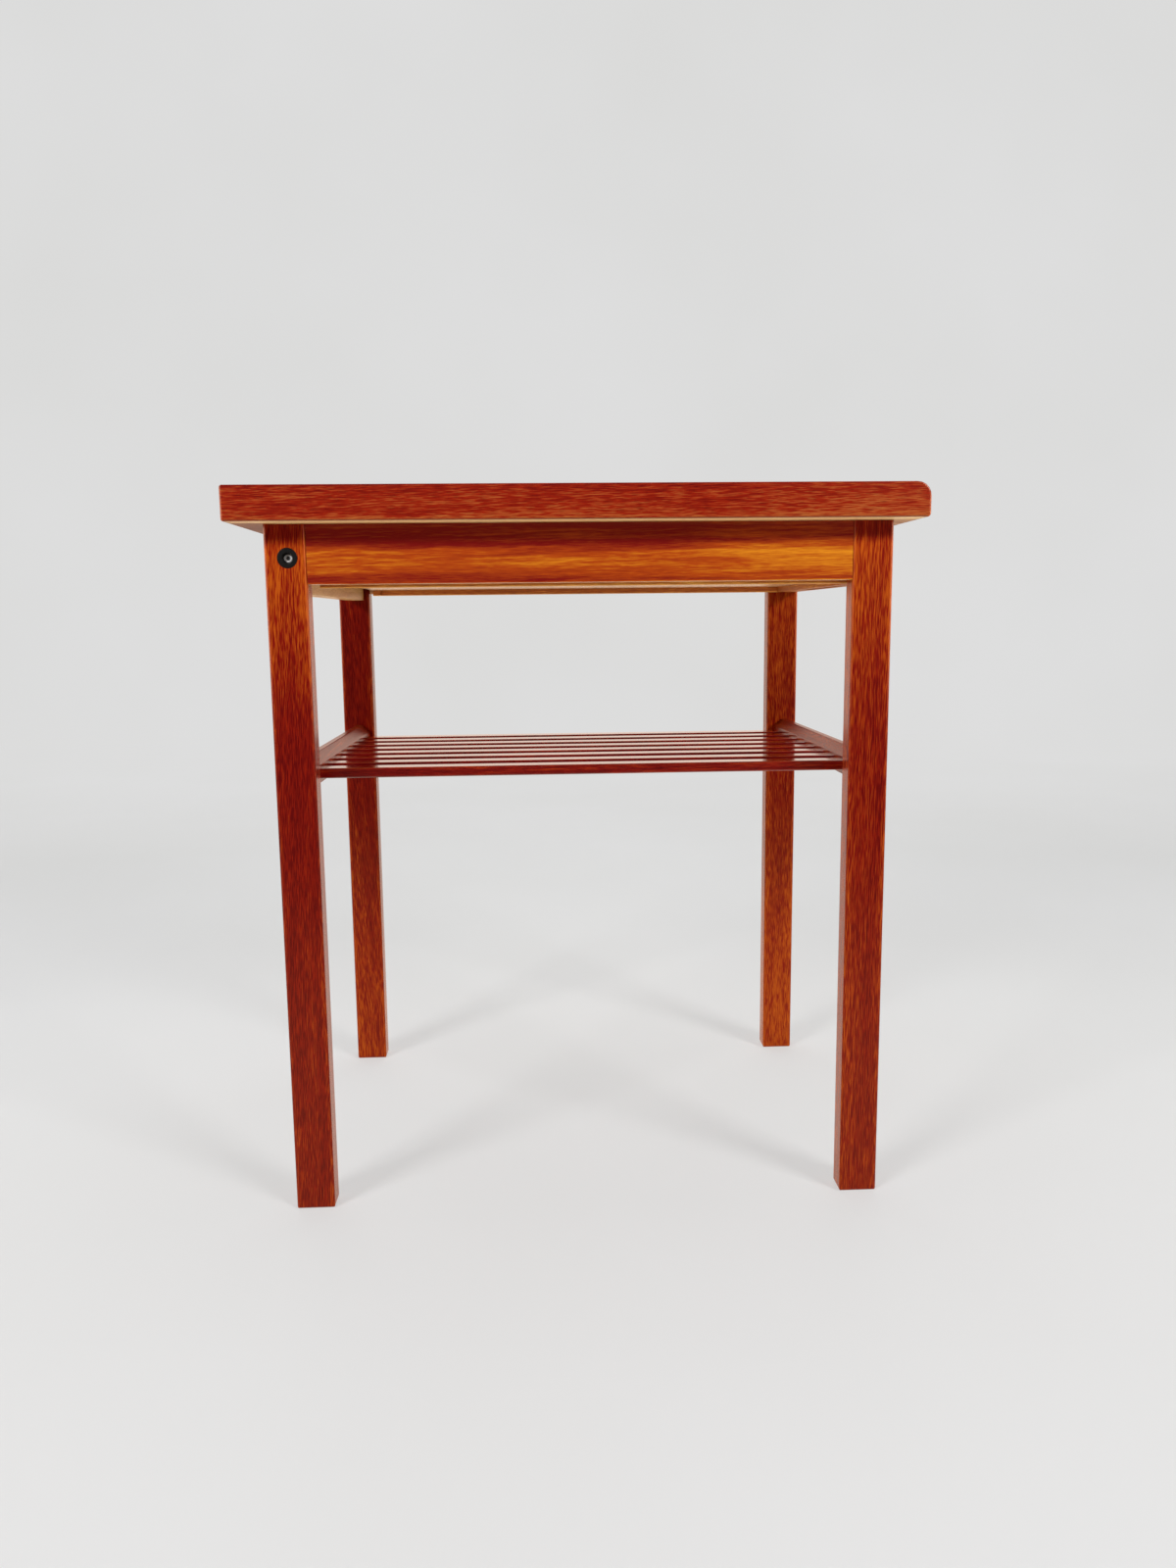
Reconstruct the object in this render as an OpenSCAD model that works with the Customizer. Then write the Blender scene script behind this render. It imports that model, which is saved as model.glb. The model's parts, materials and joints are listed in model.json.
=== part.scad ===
// Bedside table. Four slim legs carry a lipped and veneered top. A shallow drawer slides out
// at one narrow end on side runners, and eight slats between two bevelled rails form a shelf.
// Millimetres. Z points up, the drawer opens towards plus X, and the origin lies on the floor
// under the middle of the top.

/* [Top] */
// Length of the top, from its rear end to its drawer end
top_len = 480; // [420:1:540]
// Width of the top, across the drawer
top_width = 360; // [320:1:420]
// Thickness of the finished top
top_t = 24; // [19:0.5:30]
// Thickness of the veneer on each face of the top, which covers the lippings below
veneer_t = 0.7; // [0.5:0.1:1.2]
// Width of the solid lippings across the two ends
end_lip_w = 20; // [15:0.5:28]
// Width of the solid lippings along the two sides
side_lip_w = 8; // [5:0.5:14]
// Radius of the large upper round at the drawer end
nose_r = 10; // [6:0.5:13]
// Radius of the small lower round at the drawer end
nose_under_r = 3; // [1:0.5:5]
// Radius of the arrises at the rear end
rear_arris_r = 2; // [1:0.5:4]
// How far the top reaches past the rear legs
overhang_rear = 22; // [10:0.5:34]
// How far the top reaches past the front legs
overhang_front = 18; // [10:0.5:30]
// How far the top reaches past the legs at each side
overhang_side = 24; // [12:0.5:34]

/* [Legs] */
// Height of the legs, up to the underside of the top
leg_h = 503; // [440:1:560]
// Leg width, along the length of the top
leg_w = 29; // [26:0.5:36]
// Leg thickness, across the top
leg_d = 18; // [17:0.5:24]
// Radius of the four long arrises of a leg
leg_arris_r = 2.4; // [1:0.1:3.5]
// How much each broad side draws in down to the foot
foot_inset = 0.5; // [0.1:0.1:1.5]
// Radius round the bottom edge of a foot
foot_r = 2.5; // [1:0.1:3.5]

/* [Side aprons] */
// Height of the two long aprons
apron_h = 41; // [38:0.5:50]
// Thickness of an apron with its face veneer
apron_t = 15; // [13:0.5:15.5]
// Thickness of the face veneer on an apron
face_t = 0.8; // [0.5:0.1:1.5]
// How far an apron stands back from the outer faces of the legs
apron_setback = 0.6; // [0:0.1:1.2]

/* [Rear rail] */
// Height of the rear rail
rear_rail_h = 47; // [44:0.5:52]
// Thickness of the rear rail
rear_rail_t = 15; // [13.5:0.5:17]
// How far the rear rail stands back from the rear faces of the legs
rear_rail_setback = 8.5; // [7:0.5:9.5]

/* [Rail bolts] */
// Diameter of the round cup in a rear leg
cup_d = 14; // [12:0.5:15]
// Depth of the cup, let in flush
cup_h = 7.5; // [7:0.25:9]
// Diameter of the open mouth of the cup
cup_mouth_d = 6.6; // [6.4:0.1:8]
// Depth of the open mouth of the cup
cup_mouth_h = 5.9; // [5:0.1:6.2]
// Diameter of the bolt's head
bolt_head_d = 6; // [5:0.1:6.3]
// Height of the bolt's head
bolt_head_h = 2.2; // [1.8:0.1:3]
// Diameter of the bolt's shank
bolt_d = 4; // [3:0.5:5]
// Width over the corners of the hexagonal socket
bolt_socket_d = 3.2; // [2.5:0.1:3.8]
// Depth of the hexagonal socket
bolt_socket_h = 1.4; // [1:0.1:1.6]
// Diameter of the cross nut in the rear rail
nut_d = 9; // [8:0.5:11]
// Length of the cross nut
nut_len = 12; // [9:0.5:12.5]
// Distance of the cross nut from the end of the rear rail
nut_inset = 24; // [18:1:34]
// How far the bolt reaches past the middle of the cross nut
bolt_past = 6; // [5:0.5:9]
// Distance of the bolt below the top
bolt_drop = 23; // [20:0.5:24]

/* [Dowels and screws] */
// Diameter of the dowels between aprons, rear rail and legs
dowel_d = 6; // [5:0.5:7]
// Length of a dowel end inside a leg
dowel_in_leg = 8; // [6.5:0.5:8.5]
// Length of a dowel end inside an apron or rail
dowel_in_rail = 14; // [10:1:18]
// Distance of the outer dowels from the edges of an apron
dowel_edge = 8.5; // [8:0.5:9.5]
// Distance of the dowel from the lower edge of the rear rail
rail_dowel_edge = 10; // [8:0.5:13]
// Diameter of the upright dowels under the top
top_dowel_d = 8; // [6:0.5:9]
// Length of an upright dowel above the underside of the top
top_dowel_up = 12; // [8:0.5:14]
// Length of an upright dowel below the underside of the top
top_dowel_down = 12; // [9:0.5:13]
// Diameter of the screws through the rear rail into the top
top_screw_d = 4.5; // [3.5:0.5:6]
// Diameter of the heads of those screws
top_screw_head_d = 8; // [7:0.5:10]
// Height of the heads of those screws
top_screw_head_h = 3; // [2:0.5:4]
// Depth of the holes that hide those heads
top_screw_sink = 22; // [12:1:26]
// Length of those screws above the underside of the top
top_screw_up = 13; // [9:0.5:15]
// Diameter of the screws in the drawer runners
runner_screw_d = 3; // [2.5:0.5:4]
// Diameter of the heads of the runner screws
runner_screw_head_d = 5.6; // [5:0.2:6.4]
// Height of the heads of the runner screws
runner_screw_head_h = 2; // [1.5:0.5:3]
// Length of a runner screw inside the apron
runner_screw_in = 10; // [7:0.5:11]

/* [Shelf] */
// Height of the upper faces of the slats above the floor
slat_top_z = 328.5; // [240:0.5:380]
// Width of a slat
slat_w = 16; // [12:0.5:22]
// Thickness of a slat
slat_t = 7.5; // [6:0.5:9]
// Gap between the outer slats and the legs
slat_margin = 19.4; // [14:0.2:26]
// Radius of the long arrises of a slat
slat_arris_r = 1.2; // [0.5:0.1:2]
// Length of a slat end inside a shelf rail
slat_housing = 5; // [3:0.5:6]
// Thickness of a shelf rail
shelf_rail_t = 12; // [11:0.5:15]
// How far the rear shelf rail stands back from the outer faces of the legs
shelf_rail_setback = 12; // [8:0.5:13]
// How far the front shelf rail stands back from the outer faces of the legs
shelf_rail_front_setback = 9; // [7:0.5:13]
// Height of the upper edge of a shelf rail above the slats
shelf_rail_up = 9; // [8:0.5:14]
// Height of the lower edge of a shelf rail below the slats
shelf_rail_down = 4; // [1.5:0.5:6]
// Width of the bevel on the inner upper edge of a shelf rail
bevel_w = 6.5; // [3:0.5:8]
// Height of the bevel on the inner upper edge of a shelf rail
bevel_h = 7; // [4:0.5:8]
// Thickness of the tenons of a shelf rail
tenon_t = 6; // [5:0.5:7]
// Length of the tenons of a shelf rail
tenon_len = 10; // [7:0.5:12]
// Height of the tenons of a shelf rail
tenon_h = 12; // [9:0.5:13]
// Height of the tenons above the lower edge of a shelf rail
tenon_up = 2.5; // [2:0.5:4]

/* [Drawer] */
// Thickness of the drawer front without its face
front_t = 19; // [16:0.5:22]
// Thickness of the veneer on the drawer front
front_face_t = 1; // [0.6:0.1:2]
// How far the closed drawer front stands back from the legs
front_setback = 2; // [1:0.5:5]
// Distance of the drawer's lower edge below the top
drawer_drop = 43; // [41:0.5:48]
// Gap between the drawer front and the top
front_gap_top = 1.5; // [1:0.1:3]
// Gap between the drawer and the legs at each side
drawer_gap_side = 1; // [0.8:0.1:1.6]
// Height of the drawer sides
drawer_side_h = 36; // [32:0.5:38]
// Thickness of the drawer sides
drawer_side_t = 10; // [9:0.5:13]
// Distance of the drawer's rear end from the rear faces of the legs
drawer_rear_x = 34; // [30:0.5:60]
// Thickness of the drawer bottom
drawer_bottom_t = 4; // [3:0.5:5]
// Height of the drawer bottom above the lower edges of the sides
bottom_up = 5; // [3.5:0.5:6]
// Depth of the grooves that hold the drawer bottom
bottom_groove = 4; // [3:0.5:4.5]
// Thickness of the drawer back
back_t = 8; // [6:0.5:12]
// Thickness of the tongues of the drawer back
back_tongue_t = 2.5; // [2:0.1:4]
// Depth of the slots in the sides that hold the tongues
back_slot = 4; // [3:0.5:5]
// Distance of those slots from the rear ends of the sides
back_inset = 7; // [5:0.5:15]
// How far the drawer back stays below the upper edges of the sides
back_down = 2; // [1:0.5:5]
// Length of the dovetails
tail_len = 13; // [10:0.5:15]
// Height of a dovetail at its root
tail_root = 9; // [7:0.5:10]
// Height of a dovetail at its end
tail_end = 12; // [11:0.5:13]
// Length of the finger grip in the lower edge of the drawer front
grip_len = 110; // [60:1:160]
// Width of the finger grip
grip_w = 9; // [7:0.5:10]
// Depth of the finger grip
grip_h = 9; // [5:0.5:12]
// Wood in front of the finger grip
grip_wall = 3; // [2.5:0.5:4]

/* [Runners] */
// Height of the grooves in the drawer sides
runner_groove_h = 10; // [8:0.5:11]
// Depth of the grooves in the drawer sides
runner_groove = 5; // [4:0.5:5.5]
// Running clearance of a runner in its groove
runner_clear = 0.4; // [0.3:0.05:0.6]
// Distance of a runner's front end from the inner faces of the front legs
runner_end_gap = 7; // [4:0.5:20]
// Distance of a runner's rear end from the rear legs
runner_rear_gap = 2; // [1:0.5:10]

/* [Fits] */
// Clearance round dowels, bolts and screws
fit = 0.05; // [0.02:0.01:0.09]
// Clearance round tenons, housings and dovetails
joint_clear = 0.08; // [0.05:0.01:0.15]
// Gap beyond the end of a dowel, tenon or screw
end_gap = 0.4; // [0.2:0.1:0.8]

/* [Hidden] */
$fn = 48;

// Overrun of every cut past the face that it opens
over = 1;
// Number of slats in the shelf
slat_count = 8;
// Number of sides of a hexagon
hexagon = 6;
// Places of the runner screws as shares of a runner's length
runner_screw_shares = [0.1, 0.5, 0.9];
// Places of the upright apron dowels as shares of an apron's length
top_dowel_shares = [0.25, 0.75];
// Places of the upright screws as shares of the rear rail's length
top_screw_shares = [0.3, 0.7];
// Heights of the dovetails as shares of a drawer side's height
tail_shares = [0.26, 0.74];

teak = [0.62, 0.27, 0.11];
light_wood = [0.84, 0.68, 0.47];
steel = [0.72, 0.72, 0.74];
black = [0.05, 0.05, 0.05];

// Leg frame: its own corner is the near rear leg's outer corner on the floor
frame_len = top_len - overhang_rear - overhang_front;
frame_width = top_width - 2 * overhang_side;
clear_width = frame_width - 2 * leg_d;
apron_len = frame_len - 2 * leg_w;
apron_z = leg_h - apron_h;
core_t = apron_t - face_t;
core_y = apron_setback + face_t;
apron_inner_y = apron_setback + apron_t;
dowel_y = core_y + core_t / 2;
bolt_x = rear_rail_setback + rear_rail_t / 2;
bolt_z = leg_h - bolt_drop;
rear_rail_z = leg_h - rear_rail_h;
rail_dowel_z = rear_rail_z + rail_dowel_edge;

// Top, measured from its own near rear lower corner
core_len = top_len - 2 * end_lip_w;
core_width = top_width - 2 * side_lip_w;
under_len = top_len - rear_arris_r - nose_under_r;

// Shelf
slat_z = slat_top_z - slat_t;
slat_pitch = (clear_width - 2 * slat_margin - slat_w) / (slat_count - 1);
shelf_rail_z = slat_z - shelf_rail_down;
shelf_rail_top = slat_top_z + shelf_rail_up;
shelf_rail_h = shelf_rail_top - shelf_rail_z;
shelf_inner_x = shelf_rail_setback + shelf_rail_t;
slat_x = shelf_inner_x - slat_housing;
shelf_front_x = frame_len - shelf_rail_front_setback - shelf_rail_t;
slat_len = shelf_front_x + slat_housing - slat_x;
tenon_side = (shelf_rail_t - tenon_t) / 2;
tenon_z = shelf_rail_z + tenon_up;

// Drawer
drawer_z = leg_h - drawer_drop;
drawer_y = leg_d + drawer_gap_side;
drawer_width = frame_width - 2 * drawer_y;
front_back_x = frame_len - front_setback - front_face_t - front_t;
front_h = drawer_drop - front_gap_top;
grip_x = front_back_x + front_t - grip_wall - grip_w;
side_len = front_back_x - drawer_rear_x;
side_inner_y = drawer_y + drawer_side_t;
bottom_z = drawer_z + bottom_up;
bottom_top_z = bottom_z + drawer_bottom_t;
groove_y = side_inner_y - bottom_groove;
back_x = drawer_rear_x + back_inset;
back_z = bottom_top_z + joint_clear;
back_h = drawer_z + drawer_side_h - back_down - back_z;
runner_mid_z = drawer_z + drawer_side_h / 2;
runner_h = runner_groove_h - 2 * runner_clear;
runner_t = drawer_y + runner_groove - runner_clear - apron_inner_y;
runner_x = leg_w + runner_rear_gap;
runner_end_x = frame_len - leg_w - runner_end_gap;
runner_len = runner_end_x - runner_x;

// Placing: everything below the top is drawn in the leg frame's own corner
module in_frame() {
    translate([overhang_rear - top_len / 2, overhang_side - top_width / 2, 0]) children();
}

module in_top() {
    translate([-top_len / 2, -top_width / 2, leg_h]) children();
}

module to_far_side() {
    translate([0, frame_width, 0]) mirror([0, 1, 0]) children();
}

module to_front() {
    translate([frame_len, 0, 0]) mirror([1, 0, 0]) children();
}

module both_sides() {
    children();
    to_far_side() children();
}

module both_ends() {
    children();
    to_front() children();
}

// Shapes used by several pieces
module rod_x(d, h) {
    rotate([0, 90, 0]) cylinder(d = d, h = h);
}

module rod_y(d, h) {
    rotate([-90, 0, 0]) cylinder(d = d, h = h);
}

module run_along_x(h) {
    rotate([90, 0, 90]) linear_extrude(h) children();
}

module run_along_y(h) {
    translate([0, h, 0]) rotate([90, 0, 0]) linear_extrude(h) children();
}

module rounded_bar(a, b, r) {
    translate([r, 0]) square([a - 2 * r, b]);
    translate([0, r]) square([a, b - 2 * r]);
    for (u = [r, a - r]) {
        for (v = [r, b - r]) {
            translate([u, v]) circle(r);
        }
    }
}

module long_slot(w, h) {
    translate([0, w / 2]) square([w, h - w]);
    for (v = [w / 2, h - w / 2]) {
        translate([w / 2, v]) circle(w / 2);
    }
}

// Waste outside a quarter round, for a corner at zero with its wood towards plus
module corner_waste(r) {
    difference() {
        translate([-over, -over]) square(r + over);
        translate([r, r]) circle(r);
    }
}

// Top
module top_bores() {
    in_frame() {
        both_sides() {
            both_ends() {
                translate([leg_w / 2, leg_d / 2, leg_h - over])
                    cylinder(d = top_dowel_d + 2 * fit, h = top_dowel_up + end_gap + over);
            }
            for (s = top_dowel_shares) {
                translate([leg_w + s * apron_len, dowel_y, leg_h - over])
                    cylinder(d = top_dowel_d + 2 * fit, h = top_dowel_up + end_gap + over);
            }
        }
        for (s = top_screw_shares) {
            translate([bolt_x, leg_d + s * clear_width, leg_h - over])
                cylinder(d = top_screw_d + 2 * fit, h = top_screw_up + end_gap + over);
        }
    }
}

module top_core() {
    color(light_wood)
    difference() {
        in_top() {
            translate([end_lip_w, side_lip_w, veneer_t])
                cube([core_len, core_width, top_t - 2 * veneer_t]);
        }
        top_bores();
    }
}

module top_veneer() {
    color(teak)
    in_top() {
        translate([end_lip_w, side_lip_w, top_t - veneer_t])
            cube([core_len, core_width, veneer_t]);
    }
}

module top_underside_veneer() {
    color(light_wood)
    difference() {
        in_top() {
            translate([rear_arris_r, 0, 0]) cube([under_len, top_width, veneer_t]);
        }
        top_bores();
    }
}

// Room under an end lipping for the veneer, which starts where the lower arris ends
module veneer_rebate(arris) {
    translate([arris, -over]) square([end_lip_w - arris + over, veneer_t + over]);
}

module top_front_lipping() {
    color(teak)
    in_top() {
        translate([top_len, side_lip_w, 0]) mirror([1, 0, 0]) run_along_y(core_width) {
            difference() {
                square([end_lip_w, top_t]);
                veneer_rebate(nose_under_r);
                corner_waste(nose_under_r);
                translate([0, top_t]) mirror([0, 1]) corner_waste(nose_r);
            }
        }
    }
}

module top_rear_lipping() {
    color(teak)
    in_top() {
        translate([0, side_lip_w, 0]) run_along_y(core_width) {
            difference() {
                square([end_lip_w, top_t]);
                veneer_rebate(rear_arris_r);
                corner_waste(rear_arris_r);
                translate([0, top_t]) mirror([0, 1]) corner_waste(rear_arris_r);
            }
        }
    }
}

// Profile of the whole top along its length, with room for the veneer below
module long_profile() {
    difference() {
        square([top_len, top_t]);
        corner_waste(rear_arris_r);
        translate([0, top_t]) mirror([0, 1]) corner_waste(rear_arris_r);
        translate([top_len, 0]) mirror([1, 0]) {
            corner_waste(nose_under_r);
            translate([0, top_t]) mirror([0, 1]) corner_waste(nose_r);
        }
        translate([rear_arris_r, -over]) square([under_len, veneer_t + over]);
    }
}

module side_lipping() {
    color(teak)
    run_along_y(side_lip_w) long_profile();
}

module top_near_lipping() {
    in_top() side_lipping();
}

module top_far_lipping() {
    in_top() {
        translate([0, top_width - side_lip_w, 0]) side_lipping();
    }
}

// Legs
module taper_waste() {
    translate([0, -over, 0]) run_along_y(leg_d + 2 * over) {
        polygon([
            [-over, -over], [foot_inset, -over], [foot_inset, 0], [0, apron_z], [-over, apron_z]
        ]);
    }
}

module foot_waste_y() {
    translate([foot_inset, -over, 0]) run_along_y(leg_d + 2 * over) corner_waste(foot_r);
}

module foot_waste_x() {
    translate([-over, 0, 0]) run_along_x(leg_w + 2 * over) corner_waste(foot_r);
}

module leg_blank() {
    difference() {
        linear_extrude(leg_h) rounded_bar(leg_w, leg_d, leg_arris_r);
        taper_waste();
        foot_waste_y();
        foot_waste_x();
        translate([leg_w, 0, 0]) mirror([1, 0, 0]) {
            taper_waste();
            foot_waste_y();
        }
        translate([0, leg_d, 0]) mirror([0, 1, 0]) foot_waste_x();
    }
}

module leg_bores(rail_setback) {
    translate([leg_w / 2, leg_d / 2, leg_h - top_dowel_down - end_gap])
        cylinder(d = top_dowel_d + 2 * fit, h = top_dowel_down + end_gap + over);
    for (z = [apron_z + dowel_edge, leg_h - dowel_edge]) {
        translate([leg_w - dowel_in_leg - end_gap, dowel_y, z])
            rod_x(dowel_d + 2 * fit, dowel_in_leg + end_gap + over);
    }
    translate([
        rail_setback + tenon_side - joint_clear,
        leg_d - tenon_len - end_gap,
        tenon_z - joint_clear
    ])
        cube([tenon_t + 2 * joint_clear, tenon_len + end_gap + over, tenon_h + 2 * joint_clear]);
}

module rear_leg_bores() {
    translate([bolt_x, -over, bolt_z]) rod_y(cup_d + 2 * fit, cup_h + over);
    translate([bolt_x, 0, bolt_z]) rod_y(bolt_d + 2 * fit, leg_d + over);
    translate([bolt_x, leg_d - dowel_in_leg - end_gap, rail_dowel_z])
        rod_y(dowel_d + 2 * fit, dowel_in_leg + end_gap + over);
}

module rear_leg() {
    color(teak)
    difference() {
        leg_blank();
        leg_bores(shelf_rail_setback);
        rear_leg_bores();
    }
}

module front_leg() {
    color(teak)
    to_front() {
        difference() {
            leg_blank();
            leg_bores(shelf_rail_front_setback);
        }
    }
}

module leg_near_rear() {
    in_frame() rear_leg();
}

module leg_far_rear() {
    in_frame() to_far_side() rear_leg();
}

module leg_near_front() {
    in_frame() front_leg();
}

module leg_far_front() {
    in_frame() to_far_side() front_leg();
}

// Aprons and rear rail
module side_apron() {
    color(light_wood)
    difference() {
        translate([leg_w, core_y, apron_z]) cube([apron_len, core_t, apron_h]);
        both_ends() {
            for (z = [apron_z + dowel_edge, leg_h - dowel_edge]) {
                translate([leg_w - over, dowel_y, z])
                    rod_x(dowel_d + 2 * fit, dowel_in_rail + end_gap + over);
            }
        }
        for (s = top_dowel_shares) {
            translate([leg_w + s * apron_len, dowel_y, leg_h - top_dowel_down - end_gap])
                cylinder(d = top_dowel_d + 2 * fit, h = top_dowel_down + end_gap + over);
        }
        for (s = runner_screw_shares) {
            translate([runner_x + s * runner_len, apron_inner_y - runner_screw_in - end_gap, runner_mid_z])
                rod_y(runner_screw_d + 2 * fit, runner_screw_in + end_gap + over);
        }
    }
}

module side_apron_near() {
    in_frame() side_apron();
}

module side_apron_far() {
    in_frame() to_far_side() side_apron();
}

module apron_face() {
    color(teak)
    translate([leg_w, apron_setback, apron_z]) cube([apron_len, face_t, apron_h]);
}

module apron_face_near() {
    in_frame() apron_face();
}

module apron_face_far() {
    in_frame() to_far_side() apron_face();
}

module rear_rail() {
    color(light_wood)
    in_frame() {
        difference() {
            translate([rear_rail_setback, leg_d, rear_rail_z])
                cube([rear_rail_t, clear_width, rear_rail_h]);
            both_sides() {
                translate([bolt_x, leg_d - over, bolt_z])
                    rod_y(bolt_d + 2 * fit, nut_inset + bolt_past + end_gap + over);
                translate([bolt_x - nut_len / 2, leg_d + nut_inset, bolt_z])
                    rod_x(nut_d + 2 * fit, nut_len + rear_rail_t);
                translate([bolt_x, leg_d - over, rail_dowel_z])
                    rod_y(dowel_d + 2 * fit, dowel_in_rail + end_gap + over);
            }
            for (s = top_screw_shares) {
                translate([bolt_x, leg_d + s * clear_width, rear_rail_z - over])
                    cylinder(d = top_screw_head_d + 2 * fit, h = top_screw_sink + over);
                translate([bolt_x, leg_d + s * clear_width, rear_rail_z])
                    cylinder(d = top_screw_d + 2 * fit, h = rear_rail_h + over);
            }
        }
    }
}

// Dowels, screws and bolts
module apron_dowels() {
    color(light_wood)
    in_frame() both_sides() both_ends() {
        for (z = [apron_z + dowel_edge, leg_h - dowel_edge]) {
            translate([leg_w - dowel_in_leg, dowel_y, z]) rod_x(dowel_d, dowel_in_leg + dowel_in_rail);
        }
    }
}

module rear_rail_dowels() {
    color(light_wood)
    in_frame() both_sides() {
        translate([bolt_x, leg_d - dowel_in_leg, rail_dowel_z])
            rod_y(dowel_d, dowel_in_leg + dowel_in_rail);
    }
}

module top_dowels() {
    color(light_wood)
    in_frame() both_sides() {
        both_ends() {
            translate([leg_w / 2, leg_d / 2, leg_h - top_dowel_down])
                cylinder(d = top_dowel_d, h = top_dowel_down + top_dowel_up);
        }
        for (s = top_dowel_shares) {
            translate([leg_w + s * apron_len, dowel_y, leg_h - top_dowel_down])
                cylinder(d = top_dowel_d, h = top_dowel_down + top_dowel_up);
        }
    }
}

module top_screws() {
    color(steel)
    in_frame() {
        for (s = top_screw_shares) {
            translate([bolt_x, leg_d + s * clear_width, rear_rail_z + top_screw_sink]) {
                translate([0, 0, -top_screw_head_h]) cylinder(d = top_screw_head_d, h = top_screw_head_h);
                cylinder(d = top_screw_d, h = rear_rail_h - top_screw_sink + top_screw_up);
            }
        }
    }
}

module rail_bolts() {
    color(steel)
    in_frame() both_sides() {
        translate([bolt_x, cup_mouth_h, bolt_z]) {
            difference() {
                translate([0, -bolt_head_h, 0]) rod_y(bolt_head_d, bolt_head_h);
                translate([0, -bolt_head_h - over, 0])
                    rotate([-90, 0, 0]) cylinder(d = bolt_socket_d, h = bolt_socket_h + over, $fn = hexagon);
            }
            rod_y(bolt_d, leg_d - cup_mouth_h + nut_inset + bolt_past);
        }
    }
}

module bolt_cups() {
    color(black)
    in_frame() both_sides() {
        translate([bolt_x, 0, bolt_z]) {
            difference() {
                rod_y(cup_d, cup_h);
                translate([0, -over, 0]) rod_y(cup_mouth_d, cup_mouth_h + over);
                rod_y(bolt_d + 2 * fit, cup_h + over);
            }
        }
    }
}

module cross_nuts() {
    color(steel)
    in_frame() both_sides() {
        translate([bolt_x, leg_d + nut_inset, bolt_z]) {
            difference() {
                translate([-nut_len / 2, 0, 0]) rod_x(nut_d, nut_len);
                translate([0, -nut_d, 0]) rod_y(bolt_d + 2 * fit, 2 * nut_d);
            }
        }
    }
}

// Drawer runners
module drawer_runner() {
    color(light_wood)
    difference() {
        translate([runner_x, apron_inner_y, runner_mid_z - runner_h / 2])
            cube([runner_len, runner_t, runner_h]);
        for (s = runner_screw_shares) {
            translate([runner_x + s * runner_len, apron_inner_y, runner_mid_z]) {
                translate([0, -over, 0]) rod_y(runner_screw_d + 2 * fit, runner_t + 2 * over);
                translate([0, runner_t - runner_screw_head_h, 0])
                    rod_y(runner_screw_head_d + 2 * fit, runner_screw_head_h + over);
            }
        }
    }
}

module drawer_runner_near() {
    in_frame() drawer_runner();
}

module drawer_runner_far() {
    in_frame() to_far_side() drawer_runner();
}

module runner_screws() {
    color(steel)
    in_frame() both_sides() {
        for (s = runner_screw_shares) {
            translate([runner_x + s * runner_len, apron_inner_y, runner_mid_z]) {
                translate([0, -runner_screw_in, 0]) rod_y(runner_screw_d, runner_screw_in + runner_t);
                translate([0, runner_t - runner_screw_head_h, 0])
                    rod_y(runner_screw_head_d, runner_screw_head_h);
            }
        }
    }
}

// Shelf
module slat_section(clear) {
    translate([-clear, -clear])
        rounded_bar(slat_w + 2 * clear, slat_t + 2 * clear, slat_arris_r + clear);
}

function slat_y(i) = leg_d + slat_margin + i * slat_pitch;

module shelf_slat(i) {
    color(teak)
    in_frame() {
        translate([slat_x, slat_y(i), slat_z]) run_along_x(slat_len) slat_section(0);
    }
}

module shelf_rail(setback) {
    color(teak)
    difference() {
        union() {
            translate([setback, leg_d, shelf_rail_z]) run_along_y(clear_width) {
                polygon([
                    [0, 0], [shelf_rail_t, 0], [shelf_rail_t, shelf_rail_h - bevel_h],
                    [shelf_rail_t - bevel_w, shelf_rail_h], [0, shelf_rail_h]
                ]);
            }
            translate([setback + tenon_side, leg_d - tenon_len, tenon_z])
                cube([tenon_t, clear_width + 2 * tenon_len, tenon_h]);
        }
        for (i = [0:slat_count - 1]) {
            translate([setback + shelf_rail_t - slat_housing - end_gap, slat_y(i), slat_z])
                run_along_x(slat_housing + end_gap + over) slat_section(joint_clear);
        }
    }
}

module shelf_rail_rear() {
    in_frame() shelf_rail(shelf_rail_setback);
}

module shelf_rail_front() {
    in_frame() to_front() shelf_rail(shelf_rail_front_setback);
}

module shelf_slat_1() {
    shelf_slat(0);
}

module shelf_slat_2() {
    shelf_slat(1);
}

module shelf_slat_3() {
    shelf_slat(2);
}

module shelf_slat_4() {
    shelf_slat(3);
}

module shelf_slat_5() {
    shelf_slat(4);
}

module shelf_slat_6() {
    shelf_slat(5);
}

module shelf_slat_7() {
    shelf_slat(6);
}

module shelf_slat_8() {
    shelf_slat(7);
}

// Drawer, with half-blind dovetails between its sides and its front
module tail_shape(clear) {
    polygon([
        [-clear, -tail_root / 2 - clear], [0, -tail_root / 2 - clear],
        [tail_len, -tail_end / 2 - clear], [tail_len + clear, -tail_end / 2 - clear],
        [tail_len + clear, tail_end / 2 + clear], [tail_len, tail_end / 2 + clear],
        [0, tail_root / 2 + clear], [-clear, tail_root / 2 + clear]
    ]);
}

module tail_waste() {
    for (s = tail_shares) {
        translate([front_back_x, drawer_y - over, drawer_z + s * drawer_side_h])
            run_along_y(drawer_side_t + over) tail_shape(joint_clear);
    }
}

module bottom_groove_waste() {
    translate([drawer_rear_x - over, groove_y - joint_clear, bottom_z - joint_clear])
        cube([
            side_len + bottom_groove + end_gap + over,
            frame_width - 2 * (groove_y - joint_clear),
            drawer_bottom_t + 2 * joint_clear
        ]);
}

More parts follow.
